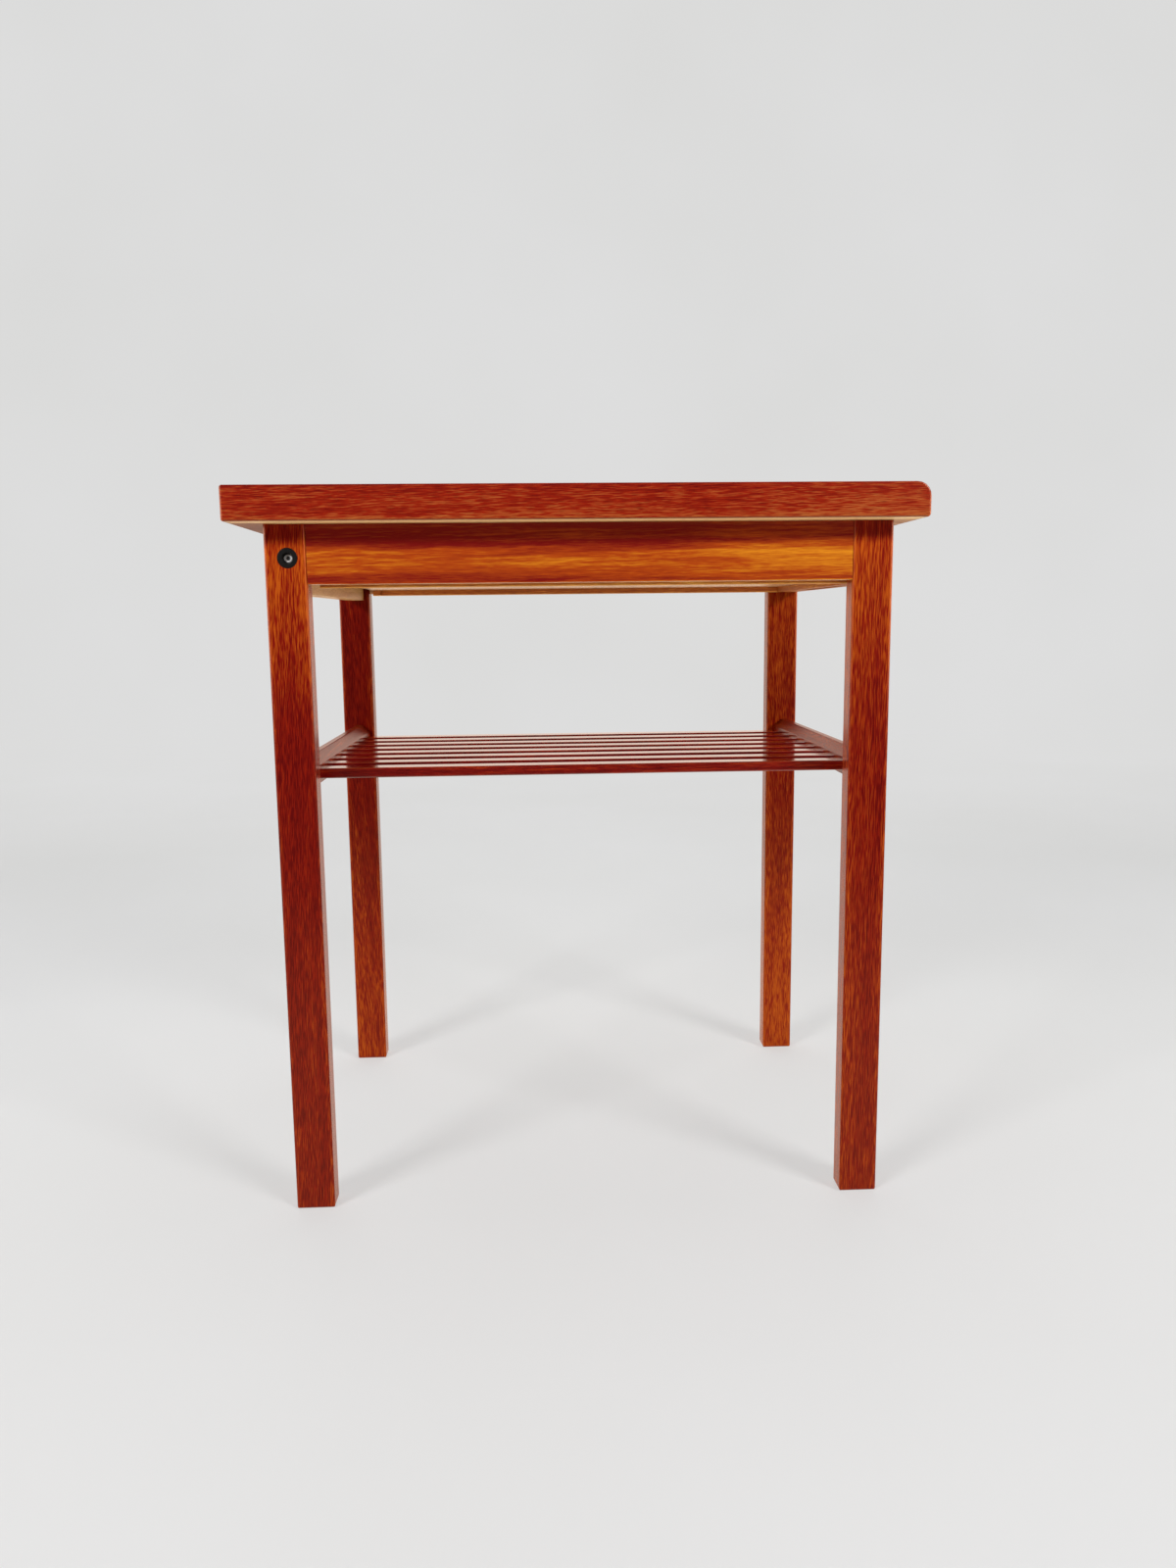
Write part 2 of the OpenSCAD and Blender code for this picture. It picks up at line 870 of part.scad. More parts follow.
module drawer_front() {
    color(light_wood)
    in_frame() {
        difference() {
            translate([front_back_x, drawer_y, drawer_z]) cube([front_t, drawer_width, front_h]);
            both_sides() tail_waste();
            bottom_groove_waste();
            translate([grip_x, (frame_width - grip_len) / 2, drawer_z - over])
                linear_extrude(grip_h + over) long_slot(grip_w, grip_len);
        }
    }
}

module drawer_front_face() {
    color(teak)
    in_frame() {
        translate([front_back_x + front_t, drawer_y, drawer_z])
            cube([front_face_t, drawer_width, front_h]);
    }
}

module drawer_side() {
    color(light_wood)
    difference() {
        union() {
            translate([drawer_rear_x, drawer_y, drawer_z]) cube([side_len, drawer_side_t, drawer_side_h]);
            for (s = tail_shares) {
                translate([front_back_x, drawer_y, drawer_z + s * drawer_side_h])
                    run_along_y(drawer_side_t - joint_clear) {
                        polygon([
                            [-over, -tail_root / 2], [0, -tail_root / 2], [tail_len, -tail_end / 2],
                            [tail_len, tail_end / 2], [0, tail_root / 2], [-over, tail_root / 2]
                        ]);
                    }
            }
        }
        translate([drawer_rear_x - over, groove_y - joint_clear, bottom_z - joint_clear])
            cube([
                side_len + tail_len + 2 * over,
                bottom_groove + joint_clear + over,
                drawer_bottom_t + 2 * joint_clear
            ]);
        translate([back_x - joint_clear, side_inner_y - back_slot - joint_clear, drawer_z - over])
            cube([
                back_tongue_t + 2 * joint_clear,
                back_slot + joint_clear + over,
                drawer_side_h + 2 * over
            ]);
        translate([drawer_rear_x - over, drawer_y - over, runner_mid_z - runner_groove_h / 2])
            cube([
                runner_end_x + runner_clear - drawer_rear_x + over,
                runner_groove + over,
                runner_groove_h
            ]);
    }
}

module drawer_side_near() {
    in_frame() drawer_side();
}

module drawer_side_far() {
    in_frame() to_far_side() drawer_side();
}

module drawer_back() {
    color(light_wood)
    in_frame() {
        translate([back_x, side_inner_y, back_z]) cube([back_t, frame_width - 2 * side_inner_y, back_h]);
        translate([back_x, side_inner_y - back_slot, back_z])
            cube([back_tongue_t, frame_width - 2 * (side_inner_y - back_slot), back_h]);
    }
}

module drawer_bottom() {
    color(light_wood)
    in_frame() {
        translate([drawer_rear_x, groove_y, bottom_z])
            cube([side_len + bottom_groove, frame_width - 2 * groove_y, drawer_bottom_t]);
    }
}

top_core();
top_veneer();
top_underside_veneer();
top_front_lipping();
top_rear_lipping();
top_near_lipping();
top_far_lipping();
leg_near_rear();
leg_near_front();
leg_far_rear();
leg_far_front();
side_apron_near();
side_apron_far();
apron_face_near();
apron_face_far();
rear_rail();
apron_dowels();
rear_rail_dowels();
top_dowels();
top_screws();
rail_bolts();
bolt_cups();
cross_nuts();
drawer_runner_near();
drawer_runner_far();
runner_screws();
shelf_rail_rear();
shelf_rail_front();
shelf_slat_1();
shelf_slat_2();
shelf_slat_3();
shelf_slat_4();
shelf_slat_5();
shelf_slat_6();
shelf_slat_7();
shelf_slat_8();
drawer_front();
drawer_front_face();
drawer_side_near();
drawer_side_far();
drawer_back();
drawer_bottom();
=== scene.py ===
"""Bedside table in lacquered teak, with one drawer and a slatted shelf.

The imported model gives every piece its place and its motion. This script gives each piece its
finish, puts softened pieces over the plain blocks, and sets the table in a pale studio.
"""

import json
import logging
import math
from dataclasses import dataclass, replace
from enum import Enum
from typing import Any, Optional, Union

import bmesh
import bpy
import numpy as np
from mathutils import Matrix, Vector


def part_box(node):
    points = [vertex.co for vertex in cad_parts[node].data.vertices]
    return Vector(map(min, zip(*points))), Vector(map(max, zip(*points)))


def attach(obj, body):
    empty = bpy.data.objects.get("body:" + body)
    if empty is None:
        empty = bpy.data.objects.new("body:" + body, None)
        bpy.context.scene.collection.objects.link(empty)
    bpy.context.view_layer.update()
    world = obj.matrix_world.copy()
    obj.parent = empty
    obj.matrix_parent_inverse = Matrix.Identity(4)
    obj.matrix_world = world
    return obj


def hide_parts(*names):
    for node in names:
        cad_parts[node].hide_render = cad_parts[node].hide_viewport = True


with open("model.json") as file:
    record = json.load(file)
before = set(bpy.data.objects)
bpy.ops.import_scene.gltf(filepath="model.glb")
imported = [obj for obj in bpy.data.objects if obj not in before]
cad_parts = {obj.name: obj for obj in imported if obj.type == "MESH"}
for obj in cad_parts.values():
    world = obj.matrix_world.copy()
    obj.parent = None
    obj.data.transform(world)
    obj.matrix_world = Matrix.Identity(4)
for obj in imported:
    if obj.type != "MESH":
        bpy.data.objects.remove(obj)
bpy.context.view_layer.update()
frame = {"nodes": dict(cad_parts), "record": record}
LOG = logging.getLogger("bedside_table")
Socket = bpy.types.NodeSocket
Point = tuple[float, float, float]
Pair = tuple[float, float]
MM = 0.001

# Settings that more than one node takes
SMOOTH = {"interpolation_type": "SMOOTHSTEP"}
ADD = {"operation": "ADD"}
SUBTRACT = {"operation": "SUBTRACT"}
MULTIPLY = {"operation": "MULTIPLY"}
MULTIPLY_ADD = {"operation": "MULTIPLY_ADD"}
SCALE = {"operation": "SCALE"}
MAXIMUM = {"operation": "MAXIMUM"}
ABSOLUTE = {"operation": "ABSOLUTE"}
COLOURS = {"data_type": "RGBA"}

BODY_OF = {
    node: body
    for body, nodes in frame["record"]["behaviour"]["bodies"].items()
    for node in nodes
}


def linear(code: str) -> tuple[float, float, float, float]:
    """Turn an sRGB hex colour into linear light.

    Args:
        code: Six hex digits after a hash sign.

    Returns:
        Red, green, blue and alpha, linear.
    """
    parts = [int(code[i : i + 2], 16) / 255 for i in (1, 3, 5)]
    r, g, b = (c / 12.92 if c <= 0.04045 else ((c + 0.055) / 1.055) ** 2.4 for c in parts)
    return (r, g, b, 1.0)


def add(
    tree: bpy.types.NodeTree,
    kind: str,
    output: Optional[str] = None,
    settings: Optional[dict[str, Any]] = None,
    inputs: Optional[dict[Union[str, int], Any]] = None,
) -> Any:
    """Add one node with its settings, values and links.

    Args:
        tree: Node tree that takes the node.
        kind: Type name of the node, after "ShaderNode".
        output: Name of the output to hand back.
        settings: Node properties by name.
        inputs: Values or output sockets by the name or number of the input.

    Returns:
        The named output, or the node where no output is named.
    """
    node = tree.nodes.new("ShaderNode" + kind)
    for key, value in (settings or {}).items():
        setattr(node, key, value)
    for key, value in (inputs or {}).items():
        if isinstance(value, Socket):
            tree.links.new(value, node.inputs[key])
        else:
            node.inputs[key].default_value = value
    return node.outputs[output] if output else node


def emptied(made: Union[bpy.types.Material, bpy.types.World]) -> bpy.types.NodeTree:
    """Turn on the nodes of a new material or world and clear away the first ones.

    Args:
        made: The new material or world.

    Returns:
        Its node tree.
    """
    made.use_nodes = True
    made.node_tree.nodes.clear()
    return made.node_tree


def put(name: str, data: bpy.types.ID) -> bpy.types.Object:
    """Put a mesh, a light or a camera into the scene.

    Args:
        name: Name of the object.
        data: What the object holds.

    Returns:
        The object.
    """
    made = bpy.data.objects.new(name, data)
    bpy.context.scene.collection.objects.link(made)
    return made


def stand_in(piece: bpy.types.Object, node: str) -> bpy.types.Object:
    """Put a piece in the place of a CAD node, on its body.

    Args:
        piece: The detailed piece.
        node: Name of the CAD node.

    Returns:
        The piece.
    """
    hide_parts(node)
    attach(piece, BODY_OF[node])
    LOG.info("%s stands for %s, %d faces", piece.name, node, len(piece.data.polygons))
    return piece


def dress(node: str, material: bpy.types.Material) -> None:
    """Give a CAD node its finish.

    Args:
        node: Name of the CAD node.
        material: The finish.
    """
    mesh = frame["nodes"][node].data
    mesh.materials.clear()
    mesh.materials.append(material)
    LOG.info("dressed %s with %s", node, material.name)


def box_mm(node: str) -> tuple[np.ndarray, np.ndarray]:
    """Lowest and highest corner of a CAD node, in millimetres."""
    low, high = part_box(node)
    return np.array(low) / MM, np.array(high) / MM


def surface(
    node: str,
    points: np.ndarray,
    normals: np.ndarray,
    faces: list[list[int]],
    material: bpy.types.Material,
) -> bpy.types.Object:
    """Make a piece from arrays of points, normals and faces, for a CAD node's place.

    Args:
        node: Name of the CAD node.
        points: Points in millimetres.
        normals: Outward normal at each point.
        faces: Numbers of the points round each face.
        material: Finish of the piece.

    Returns:
        The piece.
    """
    mesh = bpy.data.meshes.new(f"{node}_shaped")
    mesh.from_pydata((points * MM).tolist(), [], faces)
    mesh.materials.append(material)
    mesh.polygons.foreach_set("use_smooth", np.ones(len(mesh.polygons), dtype=bool))
    mesh.normals_split_custom_set_from_vertices(normals.tolist())
    return stand_in(put(mesh.name, mesh), node)


class Along(Enum):
    """The axis that a section or the grain follows, then the two axes across it."""

    X = (0, 1, 2)
    Y = (1, 0, 2)
    Z = (2, 0, 1)


@dataclass(frozen=True)
class Section:
    """A closed outline with a round at each corner, anticlockwise, in millimetres."""

    corners: tuple[Pair, ...]
    radii: tuple[float, ...]
    steps: int = 5
    least: float = 0.01

    def rings(self, ease: np.ndarray) -> tuple[np.ndarray, np.ndarray]:
        """Round the corners, once for each row of ease.

        A drawn-in corner is where its two drawn-in sides meet. It is cut back along both sides by
        its radius times the tangent of half the turn, and an arc between the cuts runs at the
        radius round a centre to the left of the first cut. At a corner that turns inwards the
        radius counts as negative.

        Args:
            ease: How far each side draws in, from one corner to the next, a row for each ring.

        Returns:
            Points of the outline for each ring, and the outward normal at each point.
        """
        corner = np.array(self.corners, dtype=float)
        into = corner - np.roll(corner, 1, axis=0)
        into /= np.linalg.norm(into, axis=1, keepdims=True)
        out = np.roll(into, -1, axis=0)
        side_in = np.stack([into[:, 1], -into[:, 0]], axis=1)
        side_out = np.roll(side_in, -1, axis=0)
        turn = np.arctan2(into[:, 0] * out[:, 1] - into[:, 1] * out[:, 0], (into * out).sum(axis=1))
        cos, sin = np.cos(turn), np.sin(turn)
        ease_in = np.roll(ease, 1, axis=1)
        by_in = ((ease_in - cos * ease) / sin**2)[..., None]
        by_out = ((ease - cos * ease_in) / sin**2)[..., None]
        moved = corner - by_in * side_in - by_out * side_out
        radius = np.array(self.radii) * np.sign(turn) - np.maximum(ease_in, ease)
        radius = np.where(turn > 0, np.maximum(radius, self.least), radius)
        centre = moved - into * (radius * np.tan(turn / 2))[..., None] - side_in * radius[..., None]
        bend = np.linspace(0.0, 1.0, self.steps + 1)
        angle = np.arctan2(side_in[:, 1], side_in[:, 0])[:, None] + turn[:, None] * bend
        normal = np.stack([np.cos(angle), np.sin(angle)], axis=2)
        point = centre[:, :, None, :] + radius[:, :, None, None] * normal
        return point.reshape(len(ease), -1, 2), normal.reshape(-1, 2)


def strips(rows: np.ndarray, count: int, closed: bool) -> np.ndarray:
    """Number the four points round each face between rows of points.

    Args:
        rows: Number of the first point in each row.
        count: Points in a row, which closes on itself.
        closed: Whether the last row joins the first.

    Returns:
        Four point numbers for each face.
    """
    near = rows if closed else rows[:-1]
    far = np.roll(rows, -1)[: len(near)]
    place = np.arange(count)
    after = (place + 1) % count
    here, there = near[:, None], far[:, None]
    return np.stack([here + place, here + after, there + after, there + place], axis=2).reshape(-1, 4)


@dataclass(frozen=True)
class Moulding:
    """A bar or board with rounded arrises: a section carried along one axis.

    Each side of the section, from one corner to the next, has its own ease at the start and at
    the end of the run: how far it draws in there.
    """

    section: Section
    run: Along
    start: float
    end: float
    ease: tuple[float, ...]
    ease_end: Optional[tuple[float, ...]] = None
    steps: int = 5

    @classmethod
    def of_box(cls, node: str, run: Along, radii: tuple[float, ...], ease: float) -> "Moulding":
        """Take the section and the length from the box of a CAD node.

        Args:
            node: Name of the CAD node.
            run: The axis it is carried along.
            radii: Radius at low-low, high-low, high-high and low-high of the two section axes.
            ease: Round at both ends.

        Returns:
            The moulding.
        """
        low, high = box_mm(node)
        along, u, v = run.value
        corners = ((low[u], low[v]), (high[u], low[v]), (high[u], high[v]), (low[u], high[v]))
        return cls(Section(corners, radii), run, low[along], high[along], (ease,) * 4)

    def piece(self, node: str, material: bpy.types.Material) -> bpy.types.Object:
        """Carry the outline along the axis and close both ends.

        Towards an end the outline draws in by one minus the sine, and moves on by the greatest
        ease times one minus the cosine, of an angle that goes from a right angle to zero. The
        normal tilts from the outline's own to the axis.

        Args:
            node: CAD node whose place the piece takes.
            material: Finish of the piece.

        Returns:
            The piece.
        """
        angle = np.linspace(0.0, np.pi / 2, self.steps + 1)
        share, move = 1 - np.sin(angle), 1 - np.cos(angle)
        first, last = np.array(self.ease), np.array(self.ease_end or self.ease)
        ease = np.concatenate([share[:, None] * first, share[::-1, None] * last])
        outline, outward = self.section.rings(ease)
        along = np.concatenate([self.start + first.max() * move, self.end - last.max() * move[::-1]])
        tilt = np.concatenate([angle - np.pi / 2, (np.pi / 2 - angle)[::-1]])
        rings, count = outline.shape[:2]
        order = list(self.run.value)
        points = np.empty((rings, count, 3))
        points[..., order[0]] = along[:, None]
        points[..., order[1:]] = outline
        normals = np.empty((rings, count, 3))
        normals[..., order[0]] = np.sin(tilt)[:, None]
        normals[..., order[1:]] = np.cos(tilt)[:, None, None] * outward
        faces = strips(np.arange(rings) * count, count, closed=False)
        caps = [list(range(count))[::-1], list(range((rings - 1) * count, rings * count))]
        if np.linalg.det(np.eye(3)[order]) < 0:
            faces, caps = faces[:, ::-1], [cap[::-1] for cap in caps]
        faces = faces.tolist() + caps
        return surface(node, points.reshape(-1, 3), normals.reshape(-1, 3), faces, material)


@dataclass(frozen=True)
class Turning:
    """A turned fitting: a section of radius and depth, carried round an axis along Y.

    Depth counts from the outer face of a leg inwards.
    """

    section: Section
    steps: int = 64

    def piece(
        self, node: str, centres: tuple[Point, ...], material: bpy.types.Material
    ) -> bpy.types.Object:
        """Carry the section round at each centre, towards the inside of the table.

        A point lies at the centre plus its radius times the cosine along X and the sine along Z,
        and plus its depth along Y, away from the side that the centre is on.

        Args:
            node: CAD node whose place the piece takes.
            centres: Places on the outer faces of the legs, in millimetres.
            material: Finish of the piece.

        Returns:
            The piece.
        """
        outline, outward = self.section.rings(np.zeros((1, len(self.section.corners))))
        angle = np.linspace(0.0, 2 * np.pi, self.steps, endpoint=False)
        around = np.stack([np.cos(angle), np.zeros(self.steps), np.sin(angle)], axis=1)
        rows = len(outward)
        quads = strips(np.arange(rows) * self.steps, self.steps, closed=True)
        points, normals, faces = [], [], []
        for number, centre in enumerate(centres):
            inwards = np.array([0.0, -np.sign(centre[1]), 0.0])
            ring = outline[0, :, 0, None, None] * around + outline[0, :, 1, None, None] * inwards
            lean = outward[:, 0, None, None] * around + outward[:, 1, None, None] * inwards
            points.append((ring + np.array(centre)).reshape(-1, 3))
            normals.append(lean.reshape(-1, 3))
            sheet = quads[:, ::-1] if inwards[1] > 0 else quads
            faces += (sheet + number * rows * self.steps).tolist()
        return surface(node, np.concatenate(points), np.concatenate(normals), faces, material)


def eased(
    node: str, material: bpy.types.Material, width: float = 0.3, shortest: float = 10.0
) -> bpy.types.Object:
    """Copy a CAD mesh with its long arrises broken, as a plane or sandpaper leaves them.

    The loose triangles are merged and flat neighbours are joined. Every outward edge that is
    longer than the shortest length and turns by more than 25 degrees takes a round.

    Args:
        node: Name of the CAD node.
        material: Finish of the piece.
        width: Width of the round, in millimetres.
        shortest: Length from which an edge is broken, in millimetres.

    Returns:
        The piece.
    """
    work = bmesh.new()
    work.from_mesh(frame["nodes"][node].data)
    bmesh.ops.remove_doubles(work, verts=work.verts, dist=1e-6)
    bmesh.ops.dissolve_limit(work, angle_limit=math.radians(0.5), verts=work.verts, edges=work.edges)
    weight = work.edges.layers.float.new("bevel_weight_edge")
    for edge in work.edges:
        sharp = edge.is_manifold and edge.calc_face_angle() > math.radians(25)
        broken = sharp and edge.is_convex and edge.calc_length() > shortest * MM and width > 0
        edge[weight] = float(broken)
        edge.smooth = broken or not sharp
    for face in work.faces:
        face.smooth = True
    mesh = bpy.data.meshes.new(f"{node}_eased")
    work.to_mesh(mesh)
    work.free()
    mesh.materials.clear()
    mesh.materials.append(material)
    piece = put(mesh.name, mesh)
    if width > 0:
        bevel = piece.modifiers.new("broken_arrises", "BEVEL")
        bevel.limit_method = "WEIGHT"
        bevel.width = width * MM
        bevel.segments = 3
    even = piece.modifiers.new("even_faces", "WEIGHTED_NORMAL")
    even.keep_sharp = True
    return stand_in(piece, node)


@dataclass(frozen=True)
class Figure:
    """One kind of mark in the wood, in millimetres along and across the grain.

    A noise with features of this size is eased from low to high and adds its weight.
    """

    length: float
    width: float
    weight: float
    low: float = 0.36
    high: float = 0.66
    detail: float = 2.5


@dataclass(frozen=True)
class Drift:
    """A slow change of tone between two places along an axis of the object, in millimetres."""

    axis: str
    start: float
    end: float
    tone_start: float
    tone_end: float


@dataclass(frozen=True)
class Wood:
    """Planed and sanded hardwood, drawn as a solid pattern so that end grain comes by itself.

    The figures and the growth layers add up to a tone from deep to pale, and dark pores lie over
    it. Growth layers follow the distance from a pith line. All lengths are in millimetres.
    """

    name: str
    deep: str
    middle: str
    pale: str
    pore: str
    figures: tuple[Figure, ...]
    pores: Figure
    layer: float
    layer_weight: float
    base: float = 0.0
    waver: float = 1.6
    roughness: Pair = (0.15, 0.24)
    tint: str = "#ffffff"
    coat: float = 0.0
    coat_roughness: float = 0.1
    relief: float = 0.02
    ior: float = 1.45
    # Distance along the plank from one seed to the next
    cut_step: float = 731.0
    # Greatest lean of the fibres about the two axes across the piece, in radians: 2 to 3 degrees
    saw_lean: Pair = (0.03, 0.045)
    # Length and width of the slow noise that bends the fibres, and its push on the growth layers
    sway: Pair = (60.0, 30.0)
    layer_push: float = 8.0
    # Tones that are wholly deep, middle and pale
    tone_stops: tuple[float, float, float] = (0.15, 0.5, 0.85)

    def material(
        self,
        node: str,
        grain: Along,
        seed: int,
        pith: Pair = (25.0, -70.0),
        drift: tuple[Drift, ...] = (),
    ) -> bpy.types.Material:
        """Make the wood for one piece.

        Args:
            node: CAD node that takes the wood, which centres the plank.
            grain: Direction of the fibres.
            seed: Which part of the plank the piece is cut from.
            pith: Place of the pith line across the fibres, from the middle of the piece.
            drift: Slow changes of tone along an axis of the object.

        Returns:
            The material.
        """
        made = bpy.data.materials.new(f"{self.name}_{node}")
        tree = emptied(made)
        low, high = box_mm(node)
        middle = ((low + high) / 2)[list(grain.value)]
        place = add(tree, "TexCoord", "Object")
        axes = add(tree, "SeparateXYZ", None, None, {"Vector": place}).outputs
        turned = add(tree, "CombineXYZ", "Vector", None, dict(enumerate(axes[i] for i in grain.value)))
        in_mm = {"Vector": turned, "Location": tuple(-middle), "Scale": (1 / MM, 1 / MM, 1 / MM)}
        centred = add(tree, "Mapping", "Vector", None, in_mm)
        # The saw ran out of the fibres, by another angle in each piece
        first, second = self.saw_lean
        lean = (0.0, first * math.sin(seed * 2.1), second * math.cos(seed * 1.7))
        sawn = {"Vector": centred, "Location": (seed * self.cut_step, 0.0, 0.0), "Rotation": lean}
        plank = add(tree, "Mapping", "Vector", None, sawn)
        # Fibres waver sideways by up to the waver
        long, wide = self.sway
        slow = add(tree, "VectorMath", "Vector", MULTIPLY, {0: plank, 1: (1 / long, 1 / wide, 1 / wide)})
        cloud = add(tree, "TexNoise", None, None, {"Vector": slow, "Scale": 1.0, "Detail": 1.0}).outputs
        bend = add(tree, "VectorMath", "Vector", SUBTRACT, {0: cloud["Color"], 1: (0.5, 0.5, 0.5)})
        reach = (0.0, 2 * self.waver, 2 * self.waver)
        fibre = add(tree, "VectorMath", "Vector", MULTIPLY_ADD, {0: bend, 1: reach, 2: plank})

        # Growth layers: noise of the distance from the pith, pushed about by the slow noise
        across = add(tree, "VectorMath", "Vector", SUBTRACT, {0: fibre, 1: (0.0, *pith)})
        flat = add(tree, "VectorMath", "Vector", MULTIPLY, {0: across, 1: (0.0, 1.0, 1.0)})
        radius = add(tree, "VectorMath", "Value", {"operation": "LENGTH"}, {0: flat})
        push = {0: cloud["Fac"], 1: self.layer_push, 2: radius}
        pushed = add(tree, "Math", "Value", MULTIPLY_ADD, push)
        rings = {"W": pushed, "Scale": 1 / self.layer, "Detail": 3.0, "Roughness": 0.62}
        years = add(tree, "TexNoise", "Fac", {"noise_dimensions": "1D"}, rings)
        weights = {"To Min": self.base, "To Max": self.base + self.layer_weight}
        eased_years = {"Value": years, "From Min": 0.3, "From Max": 0.7, **weights}
        tone = add(tree, "MapRange", "Result", SMOOTH, eased_years)

        marks = []
        for mark in (*self.figures, self.pores):
            scale = (1 / mark.length, 1 / mark.width, 1 / mark.width)
            scaled = add(tree, "VectorMath", "Vector", MULTIPLY, {0: fibre, 1: scale})
            grains = {"Vector": scaled, "Scale": 1.0, "Detail": mark.detail, "Roughness": 0.55}
            noise = add(tree, "TexNoise", "Fac", None, grains)
            ease = {"Value": noise, "From Min": mark.low, "From Max": mark.high, "To Max": mark.weight}
            marks.append(add(tree, "MapRange", "Result", SMOOTH, ease))
        for mark in marks[:-1]:
            tone = add(tree, "Math", "Value", ADD, {0: tone, 1: mark})
        for change in drift:
            span = {"From Min": change.start * MM, "From Max": change.end * MM}
            tones = {"To Min": change.tone_start, "To Max": change.tone_end}
            moved = add(
                tree, "MapRange", "Result", SMOOTH, {"Value": axes[change.axis], **span, **tones}
            )
            tone = add(tree, "Math", "Value", ADD, {0: tone, 1: moved})

        ramp = add(tree, "ValToRGB", None, None, {"Fac": tone})
        stops = ramp.color_ramp.elements
        at_deep, at_middle, at_pale = self.tone_stops
        stops[0].position, stops[0].color = at_deep, linear(self.deep)
        stops[1].position, stops[1].color = at_pale, linear(self.pale)
        stops.new(at_middle).color = linear(self.middle)
        pored = {0: marks[-1], 6: ramp.outputs["Color"], 7: linear(self.pore)}
        colour = add(tree, "Mix", None, COLOURS, pored).outputs[2]
        height = add(tree, "Math", "Value", SUBTRACT, {0: marks[0], 1: marks[-1]})
        bump = add(tree, "Bump", "Normal", None, {"Height": height, "Distance": self.relief * MM})
        smoothest, roughest = self.roughness
        polish = {"Value": marks[0], "To Min": smoothest, "To Max": roughest}
        rough = add(tree, "MapRange", "Result", None, polish)
        lacquered = {
            "Base Color": colour,
            "Roughness": rough,
            "Normal": bump,
            "IOR": self.ior,
            "Specular Tint": linear(self.tint),
            "Coat Weight": self.coat,
            "Coat Roughness": self.coat_roughness,
        }
        shader = add(tree, "BsdfPrincipled", "BSDF", None, lacquered)
        add(tree, "OutputMaterial", None, None, {"Surface": shader})
        return made


# Streaks and pores of every wood are drawn at 0.35 to 0.6 mm, two to four times their real width,
# so that they show. An amber lacquer warms what the teak mirrors.
LACQUER_TINT = "#ffd2b0"

# Teak legs under a satin lacquer: dark red-brown with many short orange vessel streaks
LEG_TEAK = Wood(
    name="lacquered_leg_teak",
    deep="#560507",
    middle="#7a1207",
    pale="#a84a0e",
    pore="#4a0a08",
    figures=(
        Figure(12.0, 0.5, 0.4, 0.38, 0.62, 1.0),
        Figure(100.0, 1.4, 0.1, 0.3, 0.7),
        Figure(240.0, 9.0, 0.12, 0.3, 0.7),
    ),
    pores=Figure(10.0, 0.4, 0.35, 0.57, 0.7, 1.0),
    layer=3.0,
    layer_weight=0.12,
    base=0.06,
    waver=0.6,
    roughness=(0.22, 0.3),
    tint="#ffb080",
)
# Flat-cut teak veneer on the aprons: the most orange wood of the table, with soft long streaks
APRON_TEAK = Wood(
    name="lacquered_apron_veneer",
    deep="#6c0e0d",
    middle="#9a3c0e",
    pale="#c67c18",
    pore="#8a2a10",
    figures=(
        Figure(14.0, 0.5, 0.16),
        Figure(90.0, 2.4, 0.16, 0.3, 0.7),
        Figure(240.0, 8.0, 0.18, 0.3, 0.7),
    ),
    pores=Figure(14.0, 0.4, 0.3, 0.57, 0.7, 1.0),
    layer=3.0,
    layer_weight=0.12,
    base=0.15,
    waver=0.5,
    roughness=(0.2, 0.28),
    tint=LACQUER_TINT,
)
# Lippings and veneer of the top: red-brown teak, brushed with thin streaks and dark pores
TOP_TEAK = Wood(
    name="lacquered_top_teak",
    deep="#640d0a",
    middle="#8a1e0c",
    pale="#a05426",
    pore="#4c0c08",
    figures=(
        Figure(55.0, 0.6, 0.3, 0.37, 0.63, 1.0),
        Figure(10.0, 0.4, 0.18, 0.36, 0.64, 1.0),
        Figure(120.0, 1.8, 0.1, 0.3, 0.7),
        Figure(240.0, 6.0, 0.14, 0.3, 0.7),
    ),
    pores=Figure(16.0, 0.45, 0.45, 0.57, 0.68, 1.0),
    layer=2.5,
    layer_weight=0.1,
    base=0.05,
    waver=0.2,
    tint=LACQUER_TINT,
)
# Slats: the darkest teak of the table, glossy enough to mirror the wall at a low angle
SLAT_TEAK = Wood(
    name="glossy_slat_teak",
    deep="#560708",
    middle="#741009",
    pale="#98340e",
    pore="#3c0706",
    figures=(Figure(16.0, 0.42, 0.42), Figure(130.0, 4.0, 0.4, 0.3, 0.7)),
    pores=Figure(8.0, 0.4, 0.5, 0.58, 0.7, 1.0),
    layer=4.0,
    layer_weight=0.18,
    waver=0.8,
    roughness=(0.12, 0.2),
    coat=1.0,
    tint=LACQUER_TINT,
)
# Shelf rails of the same teak under one thin coat, browner and finer in figure
RAIL_TEAK = replace(
    SLAT_TEAK,
    name="lacquered_rail_teak",
    middle="#7a200c",
    pale="#a04c18",
    figures=(Figure(8.0, 0.5, 0.3), Figure(130.0, 4.0, 0.2, 0.3, 0.7)),
    base=0.16,
    roughness=(0.24, 0.34),
    coat=0.0,
)
# Bare sanded beech: cream, fine and matt
CREAM_BEECH = Wood(
    name="bare_beech",
    deep="#dc9844",
    middle="#eeb468",
    pale="#f8cc88",
    pore="#c08a48",
    figures=(Figure(14.0, 0.4, 0.4), Figure(180.0, 8.0, 0.35, 0.3, 0.7)),
    pores=Figure(4.0, 0.35, 0.25, 0.58, 0.7, 1.0),
    layer=3.5,
    layer_weight=0.25,
    waver=0.8,
    roughness=(0.5, 0.62),
)
